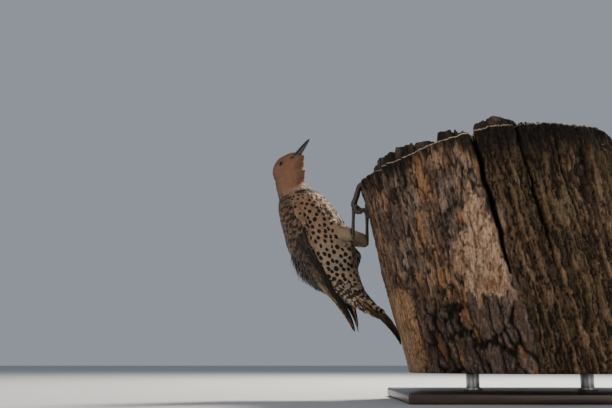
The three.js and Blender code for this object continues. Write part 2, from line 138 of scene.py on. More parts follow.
def makeLights():
    world = bpy.data.worlds.new("paleSky")
    world.use_nodes = True
    background = world.node_tree.nodes["Background"]
    background.inputs["Color"].default_value = (*lightPlan["sky"], 1)
    background.inputs["Strength"].default_value = lightPlan["skyStrength"]
    scene.world = world
    target = Vector((-0.12, 0, 0.16))
    for name in ("sunSide", "frontFill", "lowFill"):
        plan = lightPlan[name]
        data = bpy.data.lights.new(name, "AREA")
        data.energy = plan["power"]
        data.size = plan["size"]
        data.color = plan["color"]
        lamp = bpy.data.objects.new(name, data)
        lamp.location = plan["place"]
        lamp.rotation_euler = (target - Vector(plan["place"])).to_track_quat("-Z", "Y").to_euler()
        scene.collection.objects.link(lamp)


def deselectAll():
    if bpy.context.object and bpy.context.object.mode != "OBJECT":
        bpy.ops.object.mode_set(mode="OBJECT")
    bpy.ops.object.select_all(action="DESELECT")


def makeFloor():
    deselectAll()
    bpy.ops.mesh.primitive_plane_add(size=24, location=(0, 0, 0))
    floor = bpy.context.object
    floor.name = "paleFloor"
    bpy.ops.object.mode_set(mode="EDIT")
    bpy.ops.mesh.subdivide(number_cuts=3)
    bpy.ops.object.mode_set(mode="OBJECT")
    bpy.ops.object.transform_apply(location=True, rotation=False, scale=False)
    material = bpy.data.materials.new("paleFloorPaint")
    material.use_nodes = True
    shader = material.node_tree.nodes["Principled BSDF"]
    shader.inputs["Base Color"].default_value = (0.46, 0.48, 0.51, 1)
    shader.inputs["Roughness"].default_value = 0.9
    floor.data.materials.append(material)


makeCamera()
makeLights()
makeFloor()
print("camera, floor and light ready")


# ---- making meshes from points ----

def makePiece(name, points, faces, material, replaced=(), smooth=True):
    # points in the bird's frame; faces one array of quads, or a list of arrays
    mesh = bpy.data.meshes.new(name)
    place = toPart(points).astype(np.float32)
    mesh.vertices.add(len(place))
    mesh.vertices.foreach_set("co", place.ravel())
    blocks = faces if isinstance(faces, list) else [faces]
    sizes = np.concatenate([np.full(len(b), b.shape[1]) for b in blocks])
    flat = np.concatenate([b.ravel() for b in blocks]).astype(np.int32)
    starts = np.concatenate([[0], np.cumsum(sizes)[:-1]]).astype(np.int32)
    mesh.loops.add(len(flat))
    mesh.loops.foreach_set("vertex_index", flat)
    mesh.polygons.add(len(sizes))
    mesh.polygons.foreach_set("loop_start", starts)
    mesh.update(calc_edges=True)
    mesh.validate()
    mesh.polygons.foreach_set("use_smooth", np.full(len(mesh.polygons), smooth))
    mesh.materials.append(material)
    piece = bpy.data.objects.new(name, mesh)
    scene.collection.objects.link(piece)
    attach(piece, "root")
    if replaced:
        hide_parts(*replaced)
    return piece


def paint(piece, name, colors):
    # colors: one linear r, g, b for each point
    layer = piece.data.color_attributes.new(name, "FLOAT_COLOR", "POINT")
    rgba = np.ones((len(piece.data.vertices), 4), dtype=np.float32)
    rgba[:, :3] = colors
    layer.data.foreach_set("color", rgba.ravel())


def nodeMesh(name):
    # a CAD node's points in the bird's frame and its triangles, merged
    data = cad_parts[name].data
    points = np.empty(len(data.vertices) * 3)
    data.vertices.foreach_get("co", points)
    points = toBird(points.reshape(-1, 3))
    faces = np.array([tuple(p.vertices) for p in data.polygons])
    keys = np.round(points, 3)
    _, first, back = np.unique(keys, axis=0, return_index=True, return_inverse=True)
    return points[first], back.ravel()[faces]


# ---- the skin ----

def billLine(hp):
    # where the feathers end at the bill: far forward on the chin, a notch at its corners
    return np.interp(hp[:, 2], [-7.0, -5.0, -3.8, -1.6, 0.3, 1.6, 3.0, 5.0], [27.5, 22.5, 17.8, 14.0, 12.4, 14.6, 18.4, 19.4])


skinPlan = {
    "nodes": ["head", "neck", "torso", "thigh_right", "thigh_left", "wing_right", "wing_left"],
    "fillers": ["eye_right", "eye_left", "bill_upper", "bill_lower"],
    "voxel": 1.0,       # millimetres
    "swell": 0.45,      # outwards first, so that neighbours fuse
    "coatDepth": 1.5,   # how far it ends up inside the solids
    "smoothing": 8,
    "throat": 4.8,     # how much fuller the chin and throat are made
    "jaw": 4.6,
    "lowerBelly": 7.0,
}


def makeSkin():
    deselectAll()
    copies = []
    for name in skinPlan["nodes"] + skinPlan["fillers"]:
        points, faces = nodeMesh(name)
        mesh = bpy.data.meshes.new(name + "Copy")
        mesh.from_pydata((points * mm).tolist(), [], faces.tolist())
        mesh.update()
        normals = np.empty(len(points) * 3)
        mesh.vertices.foreach_get("normal", normals)
        moved = (points + normals.reshape(-1, 3) * skinPlan["swell"]) * mm
        mesh.vertices.foreach_set("co", moved.ravel())
        copy = bpy.data.objects.new(name + "Copy", mesh)
        scene.collection.objects.link(copy)
        copy.select_set(True)
        copies.append(copy)
    bpy.context.view_layer.objects.active = copies[0]
    bpy.ops.object.join()
    skin = bpy.context.object
    remesh = skin.modifiers.new("remesh", "REMESH")
    remesh.mode = "VOXEL"
    remesh.voxel_size = skinPlan["voxel"] * mm
    bpy.ops.object.modifier_apply(modifier="remesh")
    smooth = skin.modifiers.new("smooth", "SMOOTH")
    smooth.factor = 0.6
    smooth.iterations = skinPlan["smoothing"]
    bpy.ops.object.modifier_apply(modifier="smooth")
    mesh = skin.data
    points = np.empty(len(mesh.vertices) * 3)
    mesh.vertices.foreach_get("co", points)
    normals = np.empty(len(mesh.vertices) * 3)
    mesh.vertices.foreach_get("normal", normals)
    depth = skinPlan["swell"] + skinPlan["coatDepth"]
    points = points.reshape(-1, 3) / mm - normals.reshape(-1, 3) * depth
    loops = np.empty(len(mesh.loops), dtype=np.int32)
    mesh.loops.foreach_get("vertex_index", loops)
    faces = loops.reshape(-1, 4)
    bpy.data.objects.remove(skin)
    # the throat and chin hang a little fuller than the solids under them
    hp = inHead(points)
    down = -0.68 * hp[:, 2] - 0.74 * hp[:, 0]
    out = 0.66 * hp[:, 0] - 0.75 * hp[:, 2]
    full = 1 - ramp(np.abs(hp[:, 1]), 9, 15)
    full *= mix(1.0, ramp(-hp[:, 2], 1.6, 4.2), ramp(hp[:, 0], 14, 18))
    full *= 1 - ramp(hp[:, 0], 21, 26.5)
    sideways = np.sign(hp[:, 1]) * ramp(np.abs(hp[:, 1]), 0.5, 6)
    chin = skinPlan["throat"] * full * (1 - ramp(down, 0, 27)) * ramp(out, 9, 17)
    jaw = skinPlan["jaw"] * full * np.exp(-((down + 1.5) / 7.5) ** 2) * ramp(out, 5, 12)
    hp += np.stack([0.66 * chin + 0.5 * jaw, sideways * (0.4 * chin + 0.62 * jaw), -0.75 * chin - 0.6 * jaw], axis=-1)
    # the part inside the bill is drawn back out of sight
    limit = billLine(hp)
    ahead = hp[:, 0] > limit
    hp[ahead, 0] = limit[ahead] + (hp[ahead, 0] - limit[ahead]) * 0.12
    points = fromHead(hp)
    # loose thigh feathers make the lower belly fuller
    for sign in (-1, 1):
        off = (points - [56, 9 * sign, 156]) / [10, 8.5, 10]
        points += skinPlan["lowerBelly"] * np.exp(-(off ** 2).sum(axis=1))[:, None] * np.array([0.93, 0.33 * sign, -0.1])
    return points, faces


skinPoints, skinFaces = makeSkin()
print("skin shaped,", len(skinPoints), "points")


class SkinMap:
    # finds the place on the skin nearest to a point, and the skin's outward direction there
    def __init__(self, points, faces):
        self.points = points
        self.faces = faces
        a, b, c, d = (points[faces[:, k]] for k in range(4))
        self.faceNormals = unit(np.cross(c - a, d - b))
        self.areas = 0.5 * np.linalg.norm(np.cross(c - a, d - b), axis=1)
        soft = np.zeros_like(points)
        for k in range(4):
            np.add.at(soft, faces[:, k], self.faceNormals * self.areas[:, None])
        soft = unit(soft)
        for _ in range(2):
            wide = np.zeros_like(soft)
            middle = soft[faces].mean(axis=1)
            for k in range(4):
                np.add.at(wide, faces[:, k], middle)
            soft = unit(wide)
        self.softNormals = soft
        self.tree = BVHTree.FromPolygons([tuple(p) for p in points], [tuple(f) for f in faces])

    def nearest(self, places):
        flat = np.asarray(places).reshape(-1, 3)
        spots = np.empty_like(flat)
        index = np.empty(len(flat), dtype=int)
        find = self.tree.find_nearest
        for i, p in enumerate(flat.tolist()):
            spot, _, face, _ = find(p)
            spots[i] = spot
            index[i] = face
        corners = self.points[self.faces[index]]
        near = 1 / (np.linalg.norm(corners - spots[:, None], axis=2) + 0.05)
        normals = unit((self.softNormals[self.faces[index]] * near[..., None]).sum(axis=1))
        shape = np.asarray(places).shape
        return spots.reshape(shape), normals.reshape(shape)


skinMap = SkinMap(skinPoints, skinFaces)

# ---- how the coat lies ----

midLine = np.vstack([fromHead([(26, 0, -2), (20, 0, -1), (12, 0, 0), (4, 0, 0), (-5, 0, -1), (-13, 0, -5)]), [
    (-22.5, -4, 250), (-20.5, -2, 241), (-15, 0, 229.5), (-4.5, 0, 216), (5, 0, 201), (12, 0, 184),
    (19, 0, 164), (27, 0, 146), (39, 0, 129), (52, 0, 115), (66, 0, 103), (80, 0, 92.5), (90, 0, 85)]])
midPoints = curveThrough(midLine, 90)
midWays = unit(np.gradient(midPoints, axis=0))
midLengths = np.concatenate([[0], np.cumsum(np.linalg.norm(np.diff(midPoints, axis=0), axis=1))])
thighLines = {-1: (np.array([26.0, -14, 186]), np.array([65.0, -15.4, 174.5])),
              1: (np.array([30.0, 15, 180]), np.array([67.6, 18.4, 172]))}


def thighShare(points):
    # how far along its thigh a point is, and how much it belongs to that thigh
    share = np.zeros(len(points))
    belongs = np.zeros(len(points))
    ways = np.zeros((len(points), 3))
    for hip, heel in thighLines.values():
        way = heel - hip
        t = ((points - hip) @ way) / (way @ way)
        off = np.linalg.norm(points - hip - np.clip(t, 0, 1.1)[:, None] * way, axis=1)
        weight = ramp(t, 0.5, 0.72) * (1 - ramp(off, 10.5, 15))
        better = weight > belongs
        share[better] = t[better]
        belongs[better] = weight[better]
        ways[better] = unit(way)
    return share, belongs, ways


def bodyPlace(points):
    # length along the body's middle line, and the turn round it: 0 at the belly, 180 at the back
    gaps = ((points[:, None] - midPoints[None]) ** 2).sum(axis=2)
    weight = np.exp(-(gaps - gaps.min(axis=1, keepdims=True)) / 90)
    weight /= weight.sum(axis=1, keepdims=True)
    centre = weight @ midPoints
    length = weight @ midLengths
    way = unit(weight @ midWays)
    left = unit(np.cross(way, np.cross(np.broadcast_to([0.0, 1.0, 0.0], way.shape), way)))
    front = np.cross(left, way)
    off = points - centre
    turn = np.degrees(np.arctan2((off * left).sum(axis=1), -(off * front).sum(axis=1)))
    return length, turn, way


def lieAt(points, normals):
    _, _, way = bodyPlace(points)
    _, belongs, thighWay = thighShare(points)
    way = unit(way * (1 - belongs[:, None]) + (thighWay + [0, 0, -0.8]) * belongs[:, None])
    flat = way - normals * (way * normals).sum(axis=1, keepdims=True)
    return unit(flat)


def scatterRoots(rng, count, spacing, keep):
    # random places on the skin, thinned until none is nearer than its spacing to another
    share = skinMap.areas / skinMap.areas.sum()
    face = rng.choice(len(share), size=count, p=share)
    u, v = rng.random(count)[:, None], rng.random(count)[:, None]
    corners = skinPoints[skinFaces[face]]
    spots = mix(mix(corners[:, 0], corners[:, 1], u), mix(corners[:, 3], corners[:, 2], u), v)
    wanted = keep(spots)
    spots = spots[wanted]
    gaps = spacing(spots)
    cell = gaps.max()
    grid = {}
    kept = []
    for i, (p, gap) in enumerate(zip(spots.tolist(), gaps.tolist())):
        key = (int(p[0] // cell), int(p[1] // cell), int(p[2] // cell))
        clear = True
        for a in (-1, 0, 1):
            for b in (-1, 0, 1):
                for c in (-1, 0, 1):
                    for q in grid.get((key[0] + a, key[1] + b, key[2] + c), ()):
                        if (p[0] - q[0]) ** 2 + (p[1] - q[1]) ** 2 + (p[2] - q[2]) ** 2 < gap * gap:
                            clear = False
                            break
                    if not clear:
                        break
                if not clear:
                    break
            if not clear:
                break
        if clear:
            grid.setdefault(key, []).append(p)
            kept.append(i)
    return spots[kept]


# ---- vanes: one closed, thin feather each, many to a mesh ----

vaneShapes = {
    # along from root to tip, then the half width there as a share of the widest
    "round": [(0, 0.25), (0.2, 0.72), (0.42, 0.98), (0.65, 1.0), (0.83, 0.86), (0.94, 0.58), (1.0, 0.2)],
    "soft": [(0, 0.3), (0.3, 0.85), (0.6, 1.0), (0.82, 0.7), (1.0, 0.12)],
    "hair": [(0, 0.8), (0.35, 1.0), (0.7, 0.6), (1.0, 0.1)],
    "blot": [(0, 0.3), (0.14, 0.68), (0.32, 0.95), (0.55, 1.0), (0.78, 0.88), (0.92, 0.6), (1.0, 0.25)],
    "blunt": [(0, 0.35), (0.25, 0.85), (0.5, 1.0), (0.75, 1.0), (0.9, 0.85), (1.0, 0.4)],
}


def layVanes(roots, ways, length, width, lift, shape, rng, thick=0.16, camber=0.22, sunk=0.25, jitter=6.0,
             fray=0.0, bend=0.0):
    # length, width and lift are one number for each root; points come back as roots x rows x 4
    rows = np.array(vaneShapes[shape])
    count, steps = len(roots), len(rows)
    along = rows[:, 0][None, :, None]
    _, normals = skinMap.nearest(roots)
    turn = np.radians(rng.normal(0, jitter, count))[:, None]
    side = np.cross(normals, ways)
    way = ways * np.cos(turn) + side * np.sin(turn)
    flat = roots[:, None] + way[:, None] * along * length[:, None, None]
    onSkin, up = skinMap.nearest(flat)
    # a vane doesn't follow the skin into a fold, so its points never fall far behind a straight line
    height = -sunk + (lift[:, None] + sunk) * along[..., 0] ** (1.0 + bend)
    middle = onSkin + up * height[..., None]
    tangent = unit(np.gradient(middle, axis=1))
    across = unit(np.cross(up, tangent))
    half = width[:, None] * 0.5 * rows[:, 1][None]
    leftHalf, rightHalf = half, half
    if fray > 0:
        leftHalf = half * (1 + fray * rng.uniform(-1, 1, half.shape))
        rightHalf = half * (1 + fray * rng.uniform(-1, 1, half.shape))
    crest = np.sqrt(np.maximum(half, 0.01)) * camber
    roll = rng.normal(0, 0.05, count)[:, None]
    left = middle + across * leftHalf[..., None] - up * (crest * 0.5 + roll * half)[..., None]
    right = middle - across * rightHalf[..., None] - up * (crest * 0.5 - roll * half)[..., None]
    top = middle + up * (crest * 0.5 + thick * 0.5)[..., None]
    under = middle + up * (crest * 0.5 - thick * 0.5)[..., None]
    points = np.stack([left, top, right, under], axis=2)
    lean = 0.35
    normals = np.stack([unit(up + across * lean), up, unit(up - across * lean), -up], axis=2)
    return points.reshape(count, steps * 4, 3), normals.reshape(-1, 3), steps


def vaneFaces(count, steps):
    quads = []
    for i in range(steps - 1):
        for k in range(4):
            a, b = i * 4 + k, i * 4 + (k + 1) % 4
            quads.append((a, b, b + 4, a + 4))
    last = (steps - 1) * 4
    quads += [(3, 2, 1, 0), (last, last + 1, last + 2, last + 3)]
    one = np.array(quads)
    return (one[None] + (np.arange(count) * steps * 4)[:, None, None]).reshape(-1, 4)


def bakePatches(roots, rowCount):
    # each vane gets a small square of its own, by its root's place on the body's unwrap
    length, turn, _ = bodyPlace(roots)
    side = int(math.ceil(math.sqrt(len(roots) * 1.5)))
    spanned = (length - length.min()) / max(np.ptp(length), 1e-6)
    turned = (turn - turn.min()) / max(np.ptp(turn), 1e-6)
    wantX = np.clip((turned * side).astype(int), 0, side - 1)
    wantY = np.clip((spanned * side).astype(int), 0, side - 1)
    taken = np.zeros((side, side), dtype=bool)
    spots = np.zeros((len(roots), 2))
    for i in range(len(roots)):
        x, y = wantX[i], wantY[i]
        reach = 0
        while taken[x, y]:
            reach += 1
            x0, x1 = max(0, wantX[i] - reach), min(side, wantX[i] + reach + 1)
            y0, y1 = max(0, wantY[i] - reach), min(side, wantY[i] + reach + 1)
            free = np.argwhere(~taken[x0:x1, y0:y1])
            if len(free):
                x, y = free[0][0] + x0, free[0][1] + y0
        taken[x, y] = True
        spots[i] = (x, y)
    return spots, side


def addVaneMaps(piece, roots, steps, shape):
    # OFBake holds the patches; vane runs across and along each feather for its barbs
    mesh = piece.data
    count = len(roots)
    spots, side = bakePatches(roots, steps)
    rows = np.array(vaneShapes[shape])[:, 0] if isinstance(shape, str) else np.asarray(shape)
    u = np.tile(np.array([0.0, 0.5, 1.0, 0.5]), steps)
    v = np.repeat(rows, 4)
    local = np.stack([u, v], axis=1)
    loops = np.empty(len(mesh.loops), dtype=np.int32)
    mesh.loops.foreach_get("vertex_index", loops)
    which, corner = loops // (steps * 4), loops % (steps * 4)
    vane = mesh.uv_layers.new(name="vane")
    vane.data.foreach_set("uv", local[corner].astype(np.float32).ravel())
    bake = mesh.uv_layers.new(name="OFBake")
    under = np.tile(np.array([0, 0, 0, 1.0]), steps)
    place = local[corner] * [0.66, 0.8] + [0.1, 0.1]
    place[:, 0] += under[corner] * 0.2
    bake.data.foreach_set("uv", ((spots[which] + place) / side).astype(np.float32).ravel())
    mesh.uv_layers.active = vane
    return mesh


def softenNormals(mesh, soft):
    # light falls on the feathers as on one soft body, and on their undersides as they lie
    loops = np.empty(len(mesh.loops), dtype=np.int32)
    mesh.loops.foreach_get("vertex_index", loops)
    facing = np.empty(len(mesh.polygons) * 3)
    mesh.polygons.foreach_get("normal", facing)
    facing = np.repeat(facing.reshape(-1, 3), 4, axis=0)
    chosen = soft[loops]
    under = (chosen * facing).sum(axis=1) < 0.05
    chosen[under] = facing[under]
    mesh.normals_split_custom_set(chosen.tolist())


def makeVanes(name, roots, ways, length, width, lift, shape, rng, material, color, replaced=(), slotName="plumage",
              **more):
    points, normals, steps = layVanes(roots, ways, length, width, lift, shape, rng, **more)
    faces = vaneFaces(len(roots), steps)
    piece = makePiece(name, points.reshape(-1, 3), faces, material, replaced)
    softenNormals(piece.data, unit(toPart(normals) - toPart(np.zeros(3))))
    addVaneMaps(piece, roots, steps, shape)
    along = np.repeat(np.array(vaneShapes[shape])[:, 0], 4)
    shade = np.tile(along, len(roots))
    paint(piece, "plumageColor", color(points.reshape(-1, 3), np.repeat(np.arange(len(roots)), steps * 4), shade))
    return piece


# ---- the plumage's colours and markings ----

plumageTones = {
    "face": (0.244, 0.122, 0.073),
    "crown": (0.200, 0.096, 0.049),
    "throat": (0.255, 0.132, 0.083),
    # the next tone is a painted highlight: a pale band along the top edge of the breast's black crescent
    "strip": (0.385, 0.266, 0.174),
    "nape": (0.296, 0.044, 0.019),
    "hindNeck": (0.170, 0.096, 0.059),
    "chest": (0.296, 0.178, 0.115),
    "flank": (0.311, 0.204, 0.133),
    "belly": (0.385, 0.296, 0.211),
    "fluff": (0.296, 0.252, 0.211),
    "vent": (0.348, 0.277, 0.207),
    "back": (0.170, 0.104, 0.065),
    "rump": (0.050, 0.043, 0.042),
    "sock": (0.318, 0.255, 0.170),
    "black": (0.012, 0.009, 0.008),
}
tone = {name: np.array(value) for name, value in plumageTones.items()}


def crescentShare(points, turn):
    # the black crescent across the breast, narrowing to each side
    middle = 231.0 - 4.0 * (np.abs(turn) / 75) ** 2
    half = 3.3 * np.sqrt(np.cos(np.radians(np.clip(np.abs(turn) / 72 * 90, 0, 90))))
    return (1 - ramp(np.abs(points[:, 2] - middle), half - 0.5, half + 0.5)) * (np.abs(turn) < 72)


def groundTone(points):
    length, turn, _ = bodyPlace(points)
    z = points[:, 2]
    wide = np.abs(turn)
    inHeadPoints = inHead(points)
    hx, hy, hz = inHeadPoints.T
    color = np.empty((len(points), 3))
    under = mix(tone["chest"], tone["flank"], ramp(z, 215, 190)[:, None])
    under = mix(under, tone["belly"], (ramp(z, 190, 150) * (1 - 0.35 * ramp(wide, 25, 70)))[:, None])
    under = mix(under, tone["vent"], ramp(z, 132, 112)[:, None])
    fluffy = np.exp(-((z - 145) / 9) ** 2 - ((wide - 45) / 28) ** 2)
    under = mix(under, tone["fluff"], (fluffy * 0.8)[:, None])
    over = mix(tone["hindNeck"], tone["back"], ramp(z, 235, 215)[:, None])
    over = mix(over, tone["rump"], ramp(z, 165, 150)[:, None])
    color[:] = mix(under, over, ramp(wide, 100, 122)[:, None])
    neck = mix(tone["throat"], tone["hindNeck"], ramp(wide, 95, 140)[:, None])
    color = mix(color, neck, ramp(z, 226, 234)[:, None])
    face = mix(tone["face"], tone["crown"], ramp(hz + 0.15 * hx, 5, 9)[:, None])
    face = mix(face, tone["throat"], ramp(-hz, 3, 9)[:, None])
    onHead = ramp(z + 0.3 * points[:, 0], 236, 246)
    color = mix(color, face, onHead[:, None])
    red = np.exp(-((hx + 17.5) / 3.2) ** 2) * (1 - ramp(np.abs(hy), 8, 13)) * ramp(hz, -4, 0) * (1 - ramp(hz, 6, 10))
    color = mix(color, tone["nape"], np.clip(red * 1.3, 0, 0.9)[:, None])
    _, belongs, _ = thighShare(points)
    color = mix(color, tone["sock"], (belongs * 0.85)[:, None])
    # painted highlight: a pale band just above the black crescent
    strip = np.exp(-((z - 235.5 + 4.0 * (np.abs(turn) / 75) ** 2) / 2.2) ** 2) * (wide < 75)
    color = mix(color, tone["strip"], (strip * 0.7)[:, None])
    color = mix(color, tone["black"], crescentShare(points, turn)[:, None])
    return color


# ---- materials ----

def newMaterial(name):
    material = bpy.data.materials.new(name)
    material.use_nodes = True
    tree = material.node_tree
    return material, tree, tree.nodes["Principled BSDF"]


def addNode(tree, kind, inputs=None, **settings):
    node = tree.nodes.new(kind)
    for key, value in settings.items():
        setattr(node, key, value)
    for key, value in (inputs or {}).items():
        if hasattr(value, "is_output"):
            tree.links.new(value, node.inputs[key])
        else:
            node.inputs[key].default_value = value
    return node


def mathNode(tree, operation, first, second=0.0, third=0.0):
    node = addNode(tree, "ShaderNodeMath", {0: first, 1: second, 2: third}, operation=operation)
    return node.outputs[0]


def mixColor(tree, factor, first, second, mode="MIX"):
    node = addNode(tree, "ShaderNodeMix", data_type="RGBA", blend_type=mode)
    for key, value in ((0, factor), (6, first), (7, second)):
        if hasattr(value, "is_output"):
            tree.links.new(value, node.inputs[key])
        else:
            node.inputs[key].default_value = value
    return node.outputs[2]


def plumageMaterial(name, roughness=0.8, barbs=28, sheen=0.1):
    material, tree, shader = newMaterial(name)
    color = addNode(tree, "ShaderNodeAttribute", attribute_name="plumageColor").outputs["Color"]
    vane = addNode(tree, "ShaderNodeUVMap", uv_map="vane").outputs["UV"]
    split = addNode(tree, "ShaderNodeSeparateXYZ", {0: vane})
    off = mathNode(tree, "ABSOLUTE", mathNode(tree, "SUBTRACT", split.outputs["X"], 0.5))
    slant = mathNode(tree, "SUBTRACT", split.outputs["Y"], mathNode(tree, "MULTIPLY", off, 0.7))
    wave = mathNode(tree, "SINE", mathNode(tree, "MULTIPLY", slant, barbs * 2 * math.pi))
    coords = addNode(tree, "ShaderNodeTexCoord").outputs["Object"]
    fine = addNode(tree, "ShaderNodeTexNoise", {"Vector": coords, "Scale": 420.0, "Detail": 3.0})
    shade = mathNode(tree, "MULTIPLY_ADD", fine.outputs["Fac"], 0.5, 0.75)
    streak = mathNode(tree, "MULTIPLY_ADD", wave, 0.045, 1.0)
    both = mathNode(tree, "MULTIPLY", shade, streak)
    scaled = addNode(tree, "ShaderNodeVectorMath", {0: color, "Scale": both}, operation="SCALE").outputs[0]
    tree.links.new(scaled, shader.inputs["Base Color"])
    shader.inputs["Roughness"].default_value = roughness
    shader.inputs["Sheen Weight"].default_value = sheen
    shader.inputs["Sheen Roughness"].default_value = 0.45
    shader.inputs["Specular IOR Level"].default_value = 0.25
    bump = addNode(tree, "ShaderNodeBump", {"Height": wave, "Strength": 0.25, "Distance": 0.0001})
    tree.links.new(bump.outputs[0], shader.inputs["Normal"])
    return material


def skinMaterial():
    material, tree, shader = newMaterial("downySkin")
    color = addNode(tree, "ShaderNodeAttribute", attribute_name="plumageColor").outputs["Color"]
    coords = addNode(tree, "ShaderNodeTexCoord").outputs["Object"]
    down = addNode(tree, "ShaderNodeTexNoise", {"Vector": coords, "Scale": 900.0, "Detail": 4.0})
    shade = mathNode(tree, "MULTIPLY_ADD", down.outputs["Fac"], 0.5, 0.45)
    scaled = addNode(tree, "ShaderNodeVectorMath", {0: color, "Scale": shade}, operation="SCALE").outputs[0]
    tree.links.new(scaled, shader.inputs["Base Color"])
    shader.inputs["Roughness"].default_value = 0.95
    bump = addNode(tree, "ShaderNodeBump", {"Height": down.outputs["Fac"], "Strength": 0.6, "Distance": 0.0004})
    tree.links.new(bump.outputs[0], shader.inputs["Normal"])
    return material


featherPaint = plumageMaterial("smallFeathers")
skin = makePiece("birdSkin", skinPoints, skinFaces, skinMaterial(), skinPlan["nodes"])


# ---- the body's coat ----

def wingSurface(sign, t, u):
    # the folded wing's outside, t from its shoulder to its tip, u from the flank to the back
    flank, crest, back = (np.array([(row[k][0], sign * row[k][1], row[0]) for row in wingRows]) for k in (1, 2, 3))
    lines = [curveThrough(line, 400) for line in (flank, crest, back)]
    place = np.clip(t, 0, 1) * 399
    low = np.minimum(place.astype(int), 398)
    part = (place - low)[..., None]
    a, b, c = (mix(line[low], line[low + 1], part) for line in lines)
    u = u[..., None]
    return a * (1 - u) * (1 - 2 * u) + b * 4 * u * (1 - u) + c * u * (2 * u - 1)


wingRows = [
    (226, (-9, 21.5), (-14, 21.5), (-18, 19.5)),
    (219, (0, 30), (-14, 29), (-24, 20)),
    (203, (12, 34.5), (-9.5, 34.5), (-24, 19)),
    (184, (20, 36.5), (-2.5, 37), (-19.5, 17)),
    (166, (25.5, 36.5), (3, 37), (-14.5, 16.5)),
    (153, (30.5, 34), (12, 35.5), (-6, 16)),
    (139, (35, 29.5), (22, 31.5), (6.5, 15.5)),
    (125, (40.5, 24), (31, 26), (18, 14.5)),
    (104, (51, 15), (45.5, 17.5), (38, 10.5)),
    (86, (58.5, 8.5), (55.5, 10), (50, 5.5)),
    (70, (63, 4.6), (62.4, 5), (61, 3.4)),
]
wingTrees = {}


def wingEdge(t):
    # how far the breast's side feathers lie over the folded wing
    return 0.25 * (1 - ramp(t, 0.18, 0.42))


for wingSign in (-1, 1):
    gridT, gridU = np.meshgrid(np.linspace(0, 0.72, 60), np.linspace(0.0, 1.0, 24), indexing="ij")
    bare = gridU >= wingEdge(gridT) + 0.06
    wingDots = wingSurface(wingSign, gridT, gridU)[bare]
    tree = KDTree(len(wingDots))
    for index, dot in enumerate(wingDots):
        tree.insert(dot, index)
    tree.balance()
    wingTrees[wingSign] = tree


def underWing(points, reach=3.4):
    # which places the wings' own feathers cover
    near = np.zeros(len(points), dtype=bool)
    for i, p in enumerate(points):
        tree = wingTrees[1 if p[1] > 0 else -1]
        near[i] = tree.find(p)[2] < reach
    return near


coatPlan = {
    "seed": 7,
    "bodySpacing": 2.35, "bodyLength": 11.0, "bodyWidth": 6.4, "bodyLift": 1.05,
    "headSpacing": 0.8, "headLength": 4.3, "headWidth": 1.5, "headLift": 0.42,
}


def headShare(points):
    return ramp(points[:, 2] + 0.3 * points[:, 0], 226, 246)


def coatSpacing(points):
    near = headShare(points)
    hp = inHead(points)
    atBill = 1 - ramp(np.linalg.norm(hp - [20, 0, -1], axis=1), 6, 20)
    gap = mix(coatPlan["bodySpacing"], coatPlan["headSpacing"], near) * (1 - 0.35 * atBill * near)
    _, belongs, _ = thighShare(points)
    return gap * (1 - 0.35 * belongs)


def onFeather(points):
    # keeps the coat off the bill and the eyes
    hp = inHead(points)
    side = np.abs(hp[:, 1])
    eye = ((hp[:, 0] - 2.2) ** 2 + (hp[:, 2] - 3.1) ** 2 < 2.5 ** 2) & (side > 8)
    bill = hp[:, 0] > np.minimum(billLine(hp) - 0.1, 26.5)
    return ~eye & ~bill


def makeCoat():
    rng = np.random.default_rng(coatPlan["seed"])
    roots = scatterRoots(rng, 150000, coatSpacing, onFeather)
    roots = roots[~underWing(roots)]
    _, normals = skinMap.nearest(roots)
    toBill = unit(fromHead(np.array([[1.0, 0, 0]])) - fromHead(np.zeros((1, 3))))[0]
    roots = roots[(normals @ toBill < 0.9) | (inHead(roots)[:, 0] < 14)]
    spots, normals = skinMap.nearest(roots)
    ways = lieAt(spots, normals)
    near = headShare(roots)
    _, turn, _ = bodyPlace(roots)
    _, belongs, _ = thighShare(roots)
    count = len(roots)
    hp = inHead(roots)
    atBill = (1 - ramp(np.linalg.norm(hp - [20, 0, -1], axis=1), 4, 22)) * near
    spread = 1 + rng.normal(0, 0.08, count)
    length = mix(coatPlan["bodyLength"], coatPlan["headLength"], near) * (1 - 0.4 * belongs) * (1 - 0.45 * atBill) * spread
    width = mix(coatPlan["bodyWidth"], coatPlan["headWidth"], near) * (1 - 0.35 * belongs) * (1 - 0.35 * atBill) * spread
    lift = mix(coatPlan["bodyLift"], coatPlan["headLift"], near) * (1 + rng.normal(0, 0.1, count))
    tips = roots + ways * length[:, None]
    runsOff = np.linalg.norm(skinMap.nearest(tips)[0] - tips, axis=1) > 0.3 * length
    runsOff |= (roots[:, 2] < 117) & (np.abs(turn) < 100)
    jitterTone = 1 + rng.normal(0, 0.055, (count, 1))

    def color(points, which, along):
        base = groundTone(points) * jitterTone[groupIndex[which]]
        # painted shade: each feather is darker towards its root, where its neighbours overlap it, and lighter towards
        # its tip
        return base * (0.93 + 0.1 * along[:, None])

    groups = {
        "headCoat": near > 0.72,
        "neckCoat": (near <= 0.72) & (near > 0.05),
        "bellyCoat": (near <= 0.05) & (np.abs(turn) < 62),
        "flankCoat": (near <= 0.05) & (np.abs(turn) >= 62),
    }
    for name, chosen in groups.items():
        chosen = chosen & ~runsOff
        groupIndex = np.flatnonzero(chosen)
        if not len(groupIndex):
            continue
        piece = makeVanes(name, roots[chosen], ways[chosen], length[chosen], width[chosen], lift[chosen],
                          "round" if name != "headCoat" else "soft", rng, featherPaint, color,
                          jitter=7.0, fray=0.12, thick=0.07, camber=0.1)
        print(name, len(groupIndex), "feathers,", len(piece.data.polygons) * 2, "triangles")


makeCoat()
paint(skin, "plumageColor", groundTone(skinPoints))
print("coat laid")


# ---- the black spots of the breast and belly ----

spotPlan = {
    "seed": 11,
    "spacing": 5.2,       # millimetres between spots on the flank
    "width": 4.0, "length": 4.9,
    "bottom": 1.0, "top": 1.4,   # how far above the skin each one starts and ends
}


